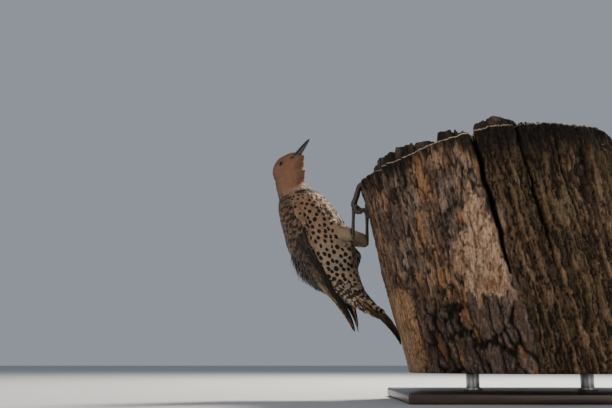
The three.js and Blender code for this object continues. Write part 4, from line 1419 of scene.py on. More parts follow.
def logSurface(turn, z, rim):
    # how deep the bark lies under the trunk's outline, and its colour
    deg = np.degrees(turn)
    radius = logPlan["radius"]
    shift = (z - 150) * 0.02
    base = np.stack([radius * np.cos(turn + shift / radius), radius * np.sin(turn + shift / radius), z], axis=-1)
    drift = layered(base / 26, 3, 3) - 0.5
    drift2 = layered(base / 26, 3, 9) - 0.5
    ragged = layered(base / [4.5, 4.5, 9], 3, 12) - 0.5
    warped = base + np.stack([drift * 10 + ragged * 5, drift2 * 10 + ragged * 5, drift * 30 + ragged * 16], axis=-1)
    edgeA, markA = platesNoise(warped / [6.5, 6.5, 42], 1)
    edgeB, markB = platesNoise(warped / [13, 13, 50], 5)
    broad = layered(base / [15, 15, 50], 3, 15)
    streaks = layered(warped / [2.8, 2.8, 60], 3, 17)
    grain = layered(base / [1.5, 1.5, 15], 2, 23)
    crumbs = layered(base / [3.0, 3.0, 6.0], 3, 31)
    flakes = layered(warped / [6, 6, 17], 3, 41)
    ridge = np.abs(streaks - 0.5) * 2
    gapA = 1 - ramp(edgeA, 0.02, 0.24)
    gapB = 1 - ramp(edgeB, 0.02, 0.17)

    thickPart = (1 - ramp(z + 30 * drift + 10 * ragged, 90, 98)) * ramp(deg + 8 * drift2, 207, 212)
    thickPart = thickPart * (1 - ramp(deg + 8 * drift, 258, 268))
    rightPart = np.clip(ramp(deg + 10 * drift, 254.5, 258) + (1 - ramp(deg, 60, 110)) * (deg < 120), 0, 1)
    depthA = 3.0 * gapA + 2.4 * markA * (1 - gapA) + 2.0 * crumbs + 1.2 * broad
    depthB = 5.0 * gapB + 3.0 * markB * (1 - gapB) + 1.7 * gapA + 2.2 * crumbs - 1.6
    depthC = 1.0 + 3.2 * (1 - ramp(ridge, 0.03, 0.33)) + 2.4 * flakes + 0.9 * grain + 2.0 * broad
    depth = mix(mix(depthA, depthB, thickPart), depthC, rightPart)

    tones = {name: np.array(value) for name, value in barkTones.items()}
    color = blend(np.broadcast_to(tones["grey"], base.shape), tones["lightGrey"], ramp(markA * 0.5 + flakes * 0.8, 0.5, 0.85))
    color = blend(color, tones["reddish"], ramp(broad, 0.45, 0.6) * ramp(flakes, 0.65, 0.4) * 0.9)
    color = blend(color, tones["tan"], ramp(flakes * 0.6 + crumbs * 0.3 + 0.5 * (broad - 0.5), 0.47, 0.56) * 0.85)
    color = blend(color, tones["orange"], ramp(markA, 0.86, 0.9) * ramp(flakes, 0.42, 0.55) * 0.8)
    # painted shade in the gaps between the bark's plates
    color = blend(color, tones["crack"], np.clip(gapA * 1.15 - 0.15, 0, 1) * ramp(crumbs, 0.25, 0.5) * 0.92)
    thick = blend(np.broadcast_to(tones["thick"], base.shape), tones["lightGrey"], ramp(crumbs, 0.45, 0.8) * 0.6)
    thick = blend(thick, tones["tan"] * 0.75, gapA * ramp(markB, 0.6, 0.7) * 0.8)
    # painted shade in the thick bark's narrow gaps
    thick = blend(thick, tones["crack"], gapA * 0.55)
    thick = blend(thick, tones["orange"] * 0.8, ramp(markB, 0.84, 0.88) * ramp(flakes, 0.45, 0.6) * 0.8)
    # painted shade in its wide gaps
    thick = blend(thick, tones["crack"], gapB)
    color = blend(color, thick, thickPart)
    right = blend(np.broadcast_to(tones["darkWood"], base.shape), tones["wood"], ramp(streaks * 0.6 + flakes * 0.5, 0.44, 0.62))
    right = blend(right, tones["paleWood"], ramp(streaks * 0.5 + broad * 0.6, 0.58, 0.75) * ramp(crumbs, 0.35, 0.6) * 0.8)
    right = blend(right, tones["moss"], ramp(layered(base / 34, 3, 51), 0.46, 0.6) * ramp(crumbs, 0.35, 0.6) * 0.55)
    # painted shade in the furrows of the bare wood
    right = blend(right, tones["crack"], 1 - ramp(ridge, 0.02, 0.2))
    color = blend(color, right, rightPart)

    # bare orange wood low on the left, and the pale peeled patch in the middle
    orange = insideShare(orangeEdge, deg + 9 * drift + 5 * ragged, z + 40 * drift2 + 24 * ragged, 1.2)
    depth = mix(depth, 2.6 + 0.8 * grain + 0.9 * (streaks - 0.5), orange)
    amber = blend(np.broadcast_to(tones["amber"], base.shape), tones["amberLight"], ramp(streaks, 0.42, 0.62))
    amber = blend(amber, tones["reddish"], ramp(grain, 0.5, 0.3) * 0.75)
    amber = blend(amber, tones["crack"], (1 - ramp(ridge, 0.0, 0.05)) * 0.8)
    color = blend(color, amber, orange)
    peeled = insideShare(peeledEdge, deg + 4 * drift + 5 * ragged, z + 18 * drift2 + 18 * ragged, 0.9)
    depth = mix(depth, 3.0 + 0.9 * grain + 1.6 * flakes, peeled)
    seams, seamMark = platesNoise(warped / [11, 11, 34], 61)
    pale = blend(np.broadcast_to(tones["peeled"], base.shape), tones["peeledDark"], ramp(crumbs * 0.5 + flakes * 0.5, 0.42, 0.6))
    pale = blend(pale, tones["tan"], ramp(seamMark, 0.6, 0.7) * 0.5)
    seamGap = 1 - ramp(seams, 0.0, 0.055)
    pale = blend(pale, tones["darkWood"], seamGap * 0.85)
    stain = np.exp(-((deg - 248) / 3.2) ** 2 - ((z - 114) / 8) ** 2) + np.exp(-((deg - 245) / 1.3) ** 2 - ((z - 106) / 4) ** 2)
    pale = blend(pale, tones["orange"] * 0.8, np.clip(stain * 1.3 * ramp(crumbs, 0.3, 0.55), 0, 0.85))
    color = blend(color, pale, peeled)
    depth = depth + (1.2 * seamGap + 2.5 * np.clip(stain, 0, 1) * ramp(crumbs, 0.4, 0.6)) * peeled

    # long drying cracks, the great one first: direction, where it ends below, half width, depth
    for turnAt, zEnd, half, deep in ((logPlan["crackTurn"], logPlan["crackEnd"], logPlan["crackHalf"], logPlan["crackDepth"]),
                                     (272.6, 118, 1.3, 6.0), (287.0, 150, 0.9, 4.0), (299.0, 60, 1.3, 5.5),
                                     (222.0, 190, 0.8, 3.5), (318.0, 90, 1.2, 5.0), (20.0, 60, 1.6, 8.0),
                                     (75.0, 120, 1.3, 7.0), (118.0, 40, 1.2, 6.0), (344.0, 130, 1.0, 5.0)):
        wander = (layered(np.stack([z / 16, z * 0, z * 0 + turnAt], axis=-1), 2, 71) - 0.5) * 1.6
        side = angleGap(deg, turnAt + wander) * perDegree
        wide = half * np.clip((z - zEnd) / 40, 0, 1)
        share = (1 - ramp(np.abs(side), wide * 0.6, wide + 0.9)) * (z > zEnd)
        depth = depth + share * deep
        if deep > 10:
            lip = np.exp(-((side + wide + 1.9) / 1.1) ** 2) * ramp(z, 196, 222)
            color = blend(color, tones["orange"] * 1.15, lip * 0.8)
        # painted shade down each crack
        color = blend(color, tones["crack"] * 0.6, np.clip(share * 1.3, 0, 1))

    # charred towards the broken top, most on the right
    low = np.interp(deg, [0, 150, 185, 215, 222, 232, 252, 256, 275, 300, 330, 360], [30, 12, 7, 16, 18, 9, 13, 32, 38, 26, 24, 30])
    burnt = ramp(z + 30 * (streaks - 0.5) + 16 * drift, rim - low - 7, rim - low * 0.4 + 3)
    color = blend(color, blend(np.broadcast_to(tones["char"], base.shape), tones["darkWood"], ramp(grain, 0.5, 0.9) * 0.6), burnt * 0.95)
    for spotTurn, spotHeight in grips:
        away = np.hypot(angleGap(deg, spotTurn) * perDegree, z - spotHeight)
        depth = mix(depth, logPlan["outward"] + 0.3, np.exp(-(away / 5.5) ** 2))
    return depth - logPlan["outward"], color


grips = gripPoints()


def makeLog(material):
    columns, wallRows, topRows = logPlan["columns"], logPlan["wallRows"], logPlan["topRows"]
    k = 2 * math.pi * np.arange(columns) / columns
    turn = k - 0.22 * np.cos(k)
    deg = np.degrees(turn) % 360
    turn = np.radians(deg)
    circle = np.stack([np.cos(turn), np.sin(turn), turn * 0], axis=-1)
    jag = layered(circle * 42, 3, 81) - 0.5
    fineJag = layered(circle * 20, 2, 85) - 0.5
    rim = np.interp(deg, rimHeights[:, 0], rimHeights[:, 1]) + 1.2 * np.sin(9 * turn) * np.sin(5 * turn + 1)
    rim = rim + 2.6 * jag - 0.6
    share = np.linspace(0, 1, wallRows + 1)[:, None]
    wallZ = mix(logPlan["bottom"], rim[None], share)
    wallTurn = np.broadcast_to(turn, wallZ.shape)
    depth, wallColor = logSurface(wallTurn, wallZ, rim[None])
    rimDepth = depth[-1]
    reach = trunkReach(wallTurn, wallZ) - depth - ramp(share, 0.99, 1.0) * 0.5 - (1 - ramp(share, 0.0, 0.008)) * 1.2
    wall = np.stack([logAxis(wallZ) + reach * np.cos(wallTurn), reach * np.sin(wallTurn), wallZ], axis=-1)
    lit = ramp(deg, 206, 212) * (1 - ramp(deg, 266, 272))
    wallColor[-1] = blend(wallColor[-1], barkTones["rimLight"], 0.25 + 0.7 * lit)
    wallPoints = wall.reshape(-1, 3)
    index = np.arange(wallPoints.shape[0]).reshape(wallRows + 1, columns)
    a, b = index[:-1], np.roll(index, -1, axis=1)[:-1]
    wallFaces = np.stack([a, b, b + columns, a + columns], axis=-1).reshape(-1, 4)

    # the broken top: the bark's edge, a step up to the charred wood, then its uneven face
    wood = np.interp(deg, woodHeights[:, 0], woodHeights[:, 1]) + 0.5 * np.sin(7 * turn + 9) + 2.4 * jag + 1.6 * fineJag
    ledge = 0.93 - 0.07 * np.exp(-((deg - 186) / 24) ** 2)
    reachRim = trunkReach(turn, rim)
    steps = [(1.0, 0.0), (0.99, 0.0), (0.975, 0.02), (0.96, 0.02)] + [(0.945 - 0.004 * j, 0.1 + 0.12 * j) for j in range(8)]
    inner = 1 - np.linspace(0.1, 0.995, topRows - len(steps)) ** 0.9
    topPoints, topColors = [wall[-1]], [wallColor[-1]]
    tones = {name: np.array(value) for name, value in barkTones.items()}
    for share, rise in steps[1:] + [(r, 1.0) for r in inner]:
        scale = share * mix(1.0, ledge, ramp(1 - share, 0.0, 0.05)) / mix(1.0, 0.93, ramp(1 - share, 0.0, 0.05))
        reach = np.minimum(reachRim * scale, reachRim - rimDepth - 0.5 - (1 - share) * 20)
        heart = mix(logPlan["top"], wood, ramp(np.full(columns, share), 0.1, 0.9))
        z = mix(rim, np.maximum(rim + 0.4, heart), rise)
        place = np.stack([reach * np.cos(turn), reach * np.sin(turn), turn * 0], axis=-1)
        rough = layered(place / [11, 11, 1], 4, 91) - 0.5
        spokes = np.stack([np.cos(turn) * 8, np.sin(turn) * 8, reach / 70], axis=-1)
        split = 1 - ramp(np.abs(layered(spokes, 3, 95) - 0.5), 0.0, 0.035)
        z = z + rough * (0.6 + 7.0 * rise) * ramp(reach, 2, 20) - split * 5 * rise * ramp(reach, 6, 30)
        crack = np.exp(-(angleGap(deg, logPlan["crackTurn"]) * reach * math.pi / 180 / 2.2) ** 2) * ramp(reach, 60, 110)
        z = z - crack * 8
        topPoints.append(np.stack([logAxis(z) + reach * np.cos(turn), reach * np.sin(turn), z], axis=-1))
        dark = blend(np.broadcast_to(tones["char"] * 1.6, (columns, 3)), tones["thick"] * 0.8, ramp(rough, -0.2, 0.3) * (0.3 + 0.7 * rise))
        dark = blend(dark, tones["paleWood"] * 0.8, ramp(layered(place / [5, 5, 1], 3, 99), 0.55, 0.75) * 0.5 * rise)
        # painted shade in the top's splits and its great crack
        dark = blend(dark, tones["crack"], np.clip(split + crack, 0, 1))
        if share >= 0.985:
            dark = blend(dark, tones["rimLight"] * 0.7, 0.2 + 0.6 * lit)
        topColors.append(dark)
    # the sawn underside, from its middle out
    under, underColors = [], []
    edge = np.hypot(wall[0, :, 0] - logAxis(logPlan["bottom"]), wall[0, :, 1])
    for share in np.linspace(0.03, 1.0, 30):
        z = np.full(columns, logPlan["bottom"])
        reach = edge * share
        under.append(np.stack([logAxis(z) + reach * np.cos(turn), reach * np.sin(turn), z], axis=-1))
        ring = 0.5 + 0.5 * np.sin(reach * 1.3 + 2 * fineJag)
        radial = ramp(layered(circle * 30, 2, 97), 0.4, 0.7)
        shade = blend(np.broadcast_to(tones["peeledDark"], (columns, 3)), tones["peeled"], ring * 0.7 + 0.3 * radial)
        underColors.append(blend(shade, tones["reddish"], np.full(columns, ramp(share, 0.93, 0.97))))
    endRings = under + topPoints
    endPoints = np.concatenate(endRings)
    index = np.arange(len(endPoints)).reshape(-1, columns)
    low, high = index[:len(under)], index[len(under):]
    quads = []
    for part in (low, high):
        a, b = part[:-1], np.roll(part, -1, axis=1)[:-1]
        quads.append(np.stack([a, b, b + columns, a + columns], axis=-1).reshape(-1, 4))
    endPoints = np.vstack([endPoints, under[0].mean(axis=0), topPoints[-1].mean(axis=0)])
    first, last = len(endPoints) - 2, len(endPoints) - 1
    fans = np.array([(low[0, (j + 1) % columns], low[0, j], first) for j in range(columns)]
                    + [(high[-1, j], high[-1, (j + 1) % columns], last) for j in range(columns)])
    endColors = np.vstack(underColors + topColors + [underColors[0][:1], topColors[-1][:1]])

    bark = makePiece("trunkBark", toBird(wallPoints * mm), wallFaces, material, ("perch_log",))
    paint(bark, "barkColor", wallColor.reshape(-1, 3))
    # the wall unrolled in two strips, one above the other
    corners = wallFaces.reshape(-1)
    across = (corners % columns) / (columns / 2)
    across[3::4] = np.where(across[3::4] * 1 == across[3::4], across[3::4], 0)
    up = (corners // columns) / wallRows
    start = (wallFaces[:, 0] % columns) >= columns // 2
    strip = np.repeat(start, 4)
    across = across - strip * 1.0
    across = np.where((corners % columns == 0) & strip, 1.0, across)
    addBakeMap(bark, np.stack([0.005 + 0.99 * across, strip * 0.5 + 0.005 + 0.49 * up], axis=-1))
    ends = makePiece("trunkEnds", toBird(endPoints * mm), quads + [fans], material, ("perch_log",))
    paint(ends, "barkColor", endColors)
    corners = np.concatenate([q.ravel() for q in quads + [fans]])
    flat = endPoints[corners]
    isTop = (corners >= len(under) * columns) & (corners != first)
    x = (flat[:, 0] - logAxis(flat[:, 2])) / 300 * 0.5 + 0.25 + isTop * 0.5
    y = flat[:, 1] / 300 + 0.5
    addBakeMap(ends, np.stack([x, y], axis=-1))
    print("trunk", len(bark.data.polygons) * 2, len(ends.data.polygons) * 2, "triangles")


def addBakeMap(piece, places):
    layer = piece.data.uv_layers.new(name="OFBake")
    layer.data.foreach_set("uv", places.astype(np.float32).ravel())


def barkMaterial():
    material, tree, shader = newMaterial("barkAndBareWood")
    color = addNode(tree, "ShaderNodeAttribute", attribute_name="barkColor").outputs["Color"]
    coords = addNode(tree, "ShaderNodeTexCoord").outputs["Object"]
    along = addNode(tree, "ShaderNodeMapping", {"Vector": coords, "Rotation": (0, -math.radians(logPlan["lean"]), 0),
                                                "Scale": (1.0, 1.0, 0.14)}).outputs[0]
    fibres = addNode(tree, "ShaderNodeTexNoise", {"Vector": along, "Scale": 650.0, "Detail": 5.0, "Roughness": 0.65})
    crumbs = addNode(tree, "ShaderNodeTexNoise", {"Vector": coords, "Scale": 380.0, "Detail": 5.0, "Roughness": 0.6})
    patch = addNode(tree, "ShaderNodeTexNoise", {"Vector": coords, "Scale": 60.0, "Detail": 3.0})
    both = mathNode(tree, "MULTIPLY_ADD", fibres.outputs["Fac"], 0.62, mathNode(tree, "MULTIPLY", crumbs.outputs["Fac"], 0.38))
    shade = addNode(tree, "ShaderNodeMapRange", {0: both, 1: 0.36, 2: 0.64, 3: 0.3, 4: 1.75}).outputs[0]
    tint = mixColor(tree, patch.outputs["Fac"], (1.14, 0.97, 0.84, 1), (0.88, 1.0, 1.10, 1))
    tinted = mixColor(tree, 1.0, color, tint, "MULTIPLY")
    scaled = addNode(tree, "ShaderNodeVectorMath", {0: tinted, "Scale": shade}, operation="SCALE").outputs[0]
    tree.links.new(scaled, shader.inputs["Base Color"])
    shader.inputs["Roughness"].default_value = 0.9
    shader.inputs["Specular IOR Level"].default_value = 0.2
    bump = addNode(tree, "ShaderNodeBump", {"Height": both, "Strength": 0.9, "Distance": 0.0016})
    tree.links.new(bump.outputs[0], shader.inputs["Normal"])
    return material


makeLog(barkMaterial())
print("trunk made")


# ---- legs, toes and claws ----

legPlan = {
    "scale": 1.62, "tarsusScale": 1.0, "scute": 1.75, "scuteRise": 0.06,
    "top": (0.054, 0.045, 0.036), "gap": (0.012, 0.010, 0.008), "sole": (0.080, 0.066, 0.047),
    "claw": (0.024, 0.020, 0.017), "clawRoot": (0.080, 0.066, 0.050),
}
tarsi = {"right": [(65.0, -15.4, 174.2), (65.4, -15.3, 178), (65.9, -15.1, 192.2), (66.5, -15.0, 206), (66.6, -15.0, 211.6)],
         "left": [(67.6, 18.4, 171.6), (67.8, 18.3, 176), (68.0, 18.2, 188.8), (68.3, 18.0, 201.5), (68.4, 18.0, 207.2)]}
tarsusSizes = [(2.3, 2.0), (2.15, 1.85), (1.75, 1.6), (2.1, 1.95), (2.9, 2.7)]
toeSizes = [1.75, 1.55, 1.45, 1.3]
# each toe from the ball of the foot to the claw's root, then the claw's bend and tip
toePaths = {
    ("front_outer", "right"): [(66.6, -15.5, 210.0), (70.8, -16.0, 220.5), (74.5, -17.6, 228.6), (82.5, -18.0, 234.2),
                               (85.5, -18.1, 235.8), (87.8, -18.2, 233.7)],
    ("front_inner", "right"): [(66.8, -14.2, 210.0), (69.8, -12.0, 220.5), (71.9, -10.0, 228.6), (78.0, -8.0, 234.0),
                               (80.7, -7.2, 235.9), (82.9, -6.8, 233.8)],
    ("rear_outer", "right"): [(66.6, -15.8, 209.6), (69.3, -18.0, 204.5), (73.0, -20.0, 200.0), (78.0, -20.5, 199.6),
                              (81.2, -21.0, 199.3), (86.1, -19.4, 199.2)],
    ("rear_inner", "right"): [(66.8, -14.0, 209.4), (69.5, -11.5, 206.0), (73.0, -10.5, 203.5), (77.0, -10.5, 203.4),
                              (80.2, -10.6, 203.3), (81.8, -10.6, 203.3)],
    ("front_outer", "left"): [(68.4, 18.6, 205.5), (71.5, 21.0, 212.5), (71.1, 22.5, 220.5), (68.9, 23.2, 228.5),
                              (67.7, 23.4, 231.9), (69.4, 23.8, 233.3)],
    ("front_inner", "left"): [(68.4, 17.4, 205.5), (70.5, 14.0, 212.5), (71.5, 11.5, 220.0), (70.5, 10.4, 226.5),
                              (69.7, 9.7, 229.9), (71.1, 9.9, 231.4)],
    ("rear_outer", "left"): [(68.4, 18.8, 205.1), (72.0, 21.5, 200.5), (76.4, 24.0, 197.5), (76.7, 24.5, 196.5),
                             (77.3, 26.0, 193.5), (79.2, 26.9, 192.1)],
    ("rear_inner", "left"): [(68.4, 17.2, 205.0), (71.0, 14.5, 202.0), (74.5, 13.0, 199.5), (77.1, 12.4, 199.5),
                             (80.2, 11.5, 199.5), (79.1, 10.5, 199.5)],
}


def tubeMesh(path, dorsal, across, rise, sides=18, relief=None):
    # rings round a path; relief is a share added to each ring's radius
    count = len(path)
    ways = unit(np.gradient(path, axis=0))
    up = np.empty_like(path)
    last = np.array(dorsal, dtype=float)
    for i in range(count):
        last = unit(last - ways[i] * (last @ ways[i]))
        up[i] = last
    side = np.cross(ways, up)
    angles = 2 * math.pi * np.arange(sides) / sides
    swell = 1.0 if relief is None else 1 + relief
    right = (across[:, None] * np.cos(angles) * swell)[..., None] * side[:, None]
    tall = (rise[:, None] * np.sin(angles) * swell)[..., None] * up[:, None]
    points = np.concatenate([(path[:, None] + right + tall).reshape(-1, 3), path[:1] - ways[:1] * rise[0] * 0.3,
                             path[-1:] + ways[-1:] * rise[-1] * 0.6])
    index = np.arange(count * sides).reshape(count, sides)
    a, b = index[:-1], np.roll(index, -1, axis=1)[:-1]
    quads = np.stack([a, b, b + sides, a + sides], axis=-1).reshape(-1, 4)
    j = np.arange(sides)
    after = (j + 1) % sides
    fans = np.concatenate([np.stack([after, j, np.full(sides, count * sides)], axis=-1),
                           np.stack([index[-1, j], index[-1, after], np.full(sides, count * sides + 1)], axis=-1)])
    return points, quads, fans, angles


def joinMeshes(parts):
    # parts: points, quads, triangles and colors of each
    points, quads, tris, colors, start = [], [], [], [], 0
    for part in parts:
        points.append(part[0])
        quads.append(part[1] + start)
        tris.append(part[2] + start)
        colors.append(part[3])
        start += len(part[0])
    return np.concatenate(points), [np.concatenate(quads), np.concatenate(tris)], np.concatenate(colors)


def scaledTube(path, across, rise, scute, size, joints=()):
    # a scaly leg or toe: plates across its upper side, small pads below
    path = curveThrough(np.array(path, dtype=float), 160)
    run = np.concatenate([[0], np.cumsum(np.linalg.norm(np.diff(path, axis=0), axis=1))])
    even = np.linspace(0, run[-1], max(24, int(run[-1] / 0.24)))
    path = np.stack([np.interp(even, run, path[:, k]) for k in range(3)], axis=-1)
    share = even / even[-1]
    knots = np.linspace(0, 1, len(across))
    swell = 1 + sum(0.1 * np.exp(-((share - joint) / 0.07) ** 2) for joint in joints)
    wide = np.interp(share, knots, across) * swell * size
    tall = np.interp(share, knots, rise) * swell * size
    sides = 20
    angles = 2 * math.pi * np.arange(sides) / sides
    onTop = ramp(np.sin(angles), -0.15, 0.35)[None]
    saw = (even / scute) % 1
    plate = legPlan["scuteRise"] * (ramp(saw, 0.0, 0.22) - 0.5 * ramp(saw, 0.3, 1.0))
    cells = np.sin(even[:, None] * 5.2 + 1.7 * np.round(angles * 3)) * np.cos(angles * 6)[None]
    relief = plate[:, None] * onTop + (0.045 * cells) * (1 - onTop)
    points, quads, fans, _ = tubeMesh(path, (-1.0, 0, 0.0), wide, tall, sides, relief)
    line = 1 - ramp(saw, 0.02, 0.2) * (1 - ramp(saw, 0.93, 1.0))
    top = blend(np.broadcast_to(np.array(legPlan["top"]), (len(even), sides, 3)), legPlan["gap"],
                np.broadcast_to(line[:, None], (len(even), sides)))
    sole = blend(np.broadcast_to(np.array(legPlan["sole"]), (len(even), sides, 3)), legPlan["gap"], ramp(-cells, 0.1, 0.6) * 0.7)
    colors = (sole + (top - sole) * onTop[..., None]).reshape(-1, 3)
    return points, quads, fans, np.vstack([colors, colors[:1], colors[-1:]])


def clawMesh(root, start, bend, tip):
    # hooked and flattened from side to side, darker to its point
    start, bend, tip = np.array(start), np.array(bend), np.array(tip)
    back = start - unit(start - np.array(root)) * 1.0
    ahead = unit(bend - start)
    t = np.linspace(0, 1, 30)[:, None]
    middle = bend + unit(bend - (start + tip) / 2 + ahead * 0.01) * 0.9
    path = (1 - t) ** 3 * back + 3 * t * (1 - t) ** 2 * (start + ahead * 1.3) + 3 * t ** 2 * (1 - t) * middle + t ** 3 * tip
    share = t[:, 0]
    tall = 1.32 * (1 - share ** 1.5) + 0.1
    points, quads, fans, angles = tubeMesh(path, (-1.0, 0, 0.3), tall * 0.66, tall, 14)
    shade = blend(np.broadcast_to(np.array(legPlan["clawRoot"]), (30, 14, 3)), legPlan["claw"],
                  np.broadcast_to(ramp(share, 0.05, 0.5)[:, None], (30, 14)))
    colors = shade.reshape(-1, 3)
    return points, quads, fans, np.vstack([colors, colors[:1], colors[-1:]])


def hornMaterial(name, attribute, roughness, coat, scale, depth):
    material, tree, shader = newMaterial(name)
    color = addNode(tree, "ShaderNodeAttribute", attribute_name=attribute).outputs["Color"]
    coords = addNode(tree, "ShaderNodeTexCoord").outputs["Object"]
    grain = addNode(tree, "ShaderNodeTexNoise", {"Vector": coords, "Scale": scale, "Detail": 4.0})
    shade = mathNode(tree, "MULTIPLY_ADD", grain.outputs["Fac"], 0.7, 0.65)
    scaled = addNode(tree, "ShaderNodeVectorMath", {0: color, "Scale": shade}, operation="SCALE").outputs[0]
    tree.links.new(scaled, shader.inputs["Base Color"])
    shader.inputs["Roughness"].default_value = roughness
    shader.inputs["Coat Weight"].default_value = coat
    shader.inputs["Coat Roughness"].default_value = 0.2
    bump = addNode(tree, "ShaderNodeBump", {"Height": grain.outputs["Fac"], "Strength": 0.5, "Distance": depth})
    tree.links.new(bump.outputs[0], shader.inputs["Normal"])
    return material


def makeLegs():
    scales = hornMaterial("legScales", "hornColor", 0.55, 0.1, 1500.0, 0.00012)
    horn = hornMaterial("clawHorn", "hornColor", 0.42, 0.1, 900.0, 0.00006)
    for side in ("right", "left"):
        sizes = np.array(tarsusSizes)
        tarsus = scaledTube(tarsi[side], sizes[:, 0], sizes[:, 1], 2.3, legPlan["tarsusScale"])
        points, faces, colors = joinMeshes([tarsus])
        piece = makePiece("tarsus_" + side, points, faces, scales, ("tarsus_" + side,))
        paint(piece, "hornColor", colors)
        toes, claws, toeNames, clawNames = [], [], [], []
        for (toe, owner), path in toePaths.items():
            if owner == side:
                toes.append(scaledTube(path[:4], toeSizes, toeSizes, legPlan["scute"], legPlan["scale"],
                                       (0.02, 0.36, 0.68, 0.97)))
                claws.append(clawMesh(*path[2:]))
                toeNames.append("toe_" + toe + "_" + side)
                clawNames.append("claw_" + toe + "_" + side)
        for label, parts, names, material, slotName in (("toes_", toes, toeNames, scales, "scaled_skin"),
                                                        ("claws_", claws, clawNames, horn, "horn")):
            points, faces, colors = joinMeshes(parts)
            piece = makePiece(label + side, points, faces, material, names)
            paint(piece, "hornColor", colors)


makeLegs()
print("legs made")


# ---- the bill ----

billPlan = {
    # the lightest grey here is a painted highlight along each mandible's ridge
    "ridgeHighlight": (0.085, 0.082, 0.082), "side": (0.050, 0.047, 0.047), "base": (0.150, 0.160, 0.175),
    "tip": (0.040, 0.038, 0.038), "inside": (0.020, 0.014, 0.012),
}
# place along the bill, the line's height, then up, down and half the width
upperRows = np.array([(8, 0.25, 3.1, 0.5, 3.7), (11, 0.2, 3.1, 0.5, 4.0), (14, 0.1, 3.15, 0.5, 4.15), (17, 0, 3.1, 0.5, 4.15), (21, -0.3, 3.0, 0.5, 3.8),
                      (26, -0.6, 2.75, 0.5, 3.2), (31, -0.95, 2.45, 0.5, 2.7), (35, -1.2, 2.1, 0.5, 2.3),
                      (39, -1.5, 1.7, 0.45, 1.85), (42, -1.8, 1.3, 0.4, 1.4), (44.5, -2.25, 0.85, 0.35, 0.9),
                      (46.2, -2.7, 0.3, 0.3, 0.4)])
lowerRows = np.array([(8, -1.1, 0.9, 3.5, 3.5), (11, -1.2, 0.9, 3.7, 3.8), (17, -1.3, 0.9, 3.7, 3.9), (21, -1.5, 0.85, 3.4, 3.55), (26, -1.75, 0.8, 2.95, 3.0),
                      (31, -2.0, 0.75, 2.5, 2.5), (34, -2.2, 0.7, 2.15, 2.15), (38, -2.45, 0.6, 1.6, 1.7),
                      (41, -2.65, 0.5, 1.1, 1.25), (44.2, -2.95, 0.3, 0.4, 0.5)])


def billMesh(rows, upper):
    rows = curveThrough(rows, 90)
    sides = 40
    angles = 2 * math.pi * np.arange(sides) / sides
    x, z, up, down, wide = (rows[:, k][:, None] for k in range(5))
    s, c = np.sin(angles)[None], np.cos(angles)[None]
    outer, inner = (up, down) if upper else (down, up)
    sign = 1 if upper else -1
    swelling = np.where(c > 0, outer, inner)
    ridge = np.exp(-(np.abs(s) / 0.16) ** 2) * (c > 0)
    height = sign * c * swelling * (1 - 0.1 * np.abs(s) ** 2) + sign * 0.12 * ridge * outer * (1 if upper else 0.4)
    across = wide * np.sign(s) * np.abs(s) ** 0.92
    # a groove from the nostril forward, and the slit of the nostril itself
    if upper:
        groove = np.exp(-((c - 0.55) / 0.12) ** 2) * ramp(x, 16, 19) * (1 - ramp(x, 24, 36))
        slit = np.exp(-((c - 0.5) / 0.1) ** 2 - ((x - 20.5) / 1.3) ** 2)
        across = across * (1 - 0.06 * groove - 0.16 * slit)
        height = height - 0.25 * slit
    points = fromHead(np.stack([x + 0 * s, across, z + height], axis=-1).reshape(-1, 3))
    ends = fromHead(np.array([(rows[0, 0] - 0.3, 0, rows[0, 1]), (rows[-1, 0] + 0.35, 0, rows[-1, 1])]))
    index = np.arange(len(points)).reshape(-1, sides)
    a, b = index[:-1], np.roll(index, -1, axis=1)[:-1]
    quads = np.stack([a, b, b + sides, a + sides], axis=-1).reshape(-1, 4)
    j = np.arange(sides)
    after = (j + 1) % sides
    first, last = len(points), len(points) + 1
    fans = np.concatenate([np.stack([after, j, np.full(sides, first)], axis=-1),
                           np.stack([index[-1, j], index[-1, after], np.full(sides, last)], axis=-1)])
    if upper:
        quads, fans = quads[:, ::-1], fans[:, ::-1]
    # painted highlight: lighter grey along the ridge of each mandible
    colors = blend(np.broadcast_to(np.array(billPlan["side"]), (*height.shape, 3)), billPlan["ridgeHighlight"], ramp(c + 0 * x, 0.5, 0.95) * 0.8)
    colors = blend(colors, billPlan["base"], (1 - ramp(x, 16, 23)) * ramp(np.abs(s) + 0 * x, 0.2, 0.7))
    colors = blend(colors, billPlan["tip"], ramp(x + 0 * s, 38, 45))
    colors = blend(colors, billPlan["inside"], ramp(-c + 0 * x, 0.15, 0.5))
    if upper:
        colors = blend(colors, billPlan["inside"], np.clip(slit * 1.3, 0, 1))
    colors = colors.reshape(-1, 3)
    return np.vstack([points, ends]), [quads, fans], np.vstack([colors, colors[:1], colors[-1:]])


def makeBill():
    horn = hornMaterial("billHorn", "hornColor", 0.33, 0.35, 700.0, 0.00005)
    for name, rows, upper in (("bill_upper", upperRows, True), ("bill_lower", lowerRows, False)):
        points, faces, colors = billMesh(rows, upper)
        piece = makePiece(name + "Horn", points, faces, horn, (name,))
        paint(piece, "hornColor", colors)


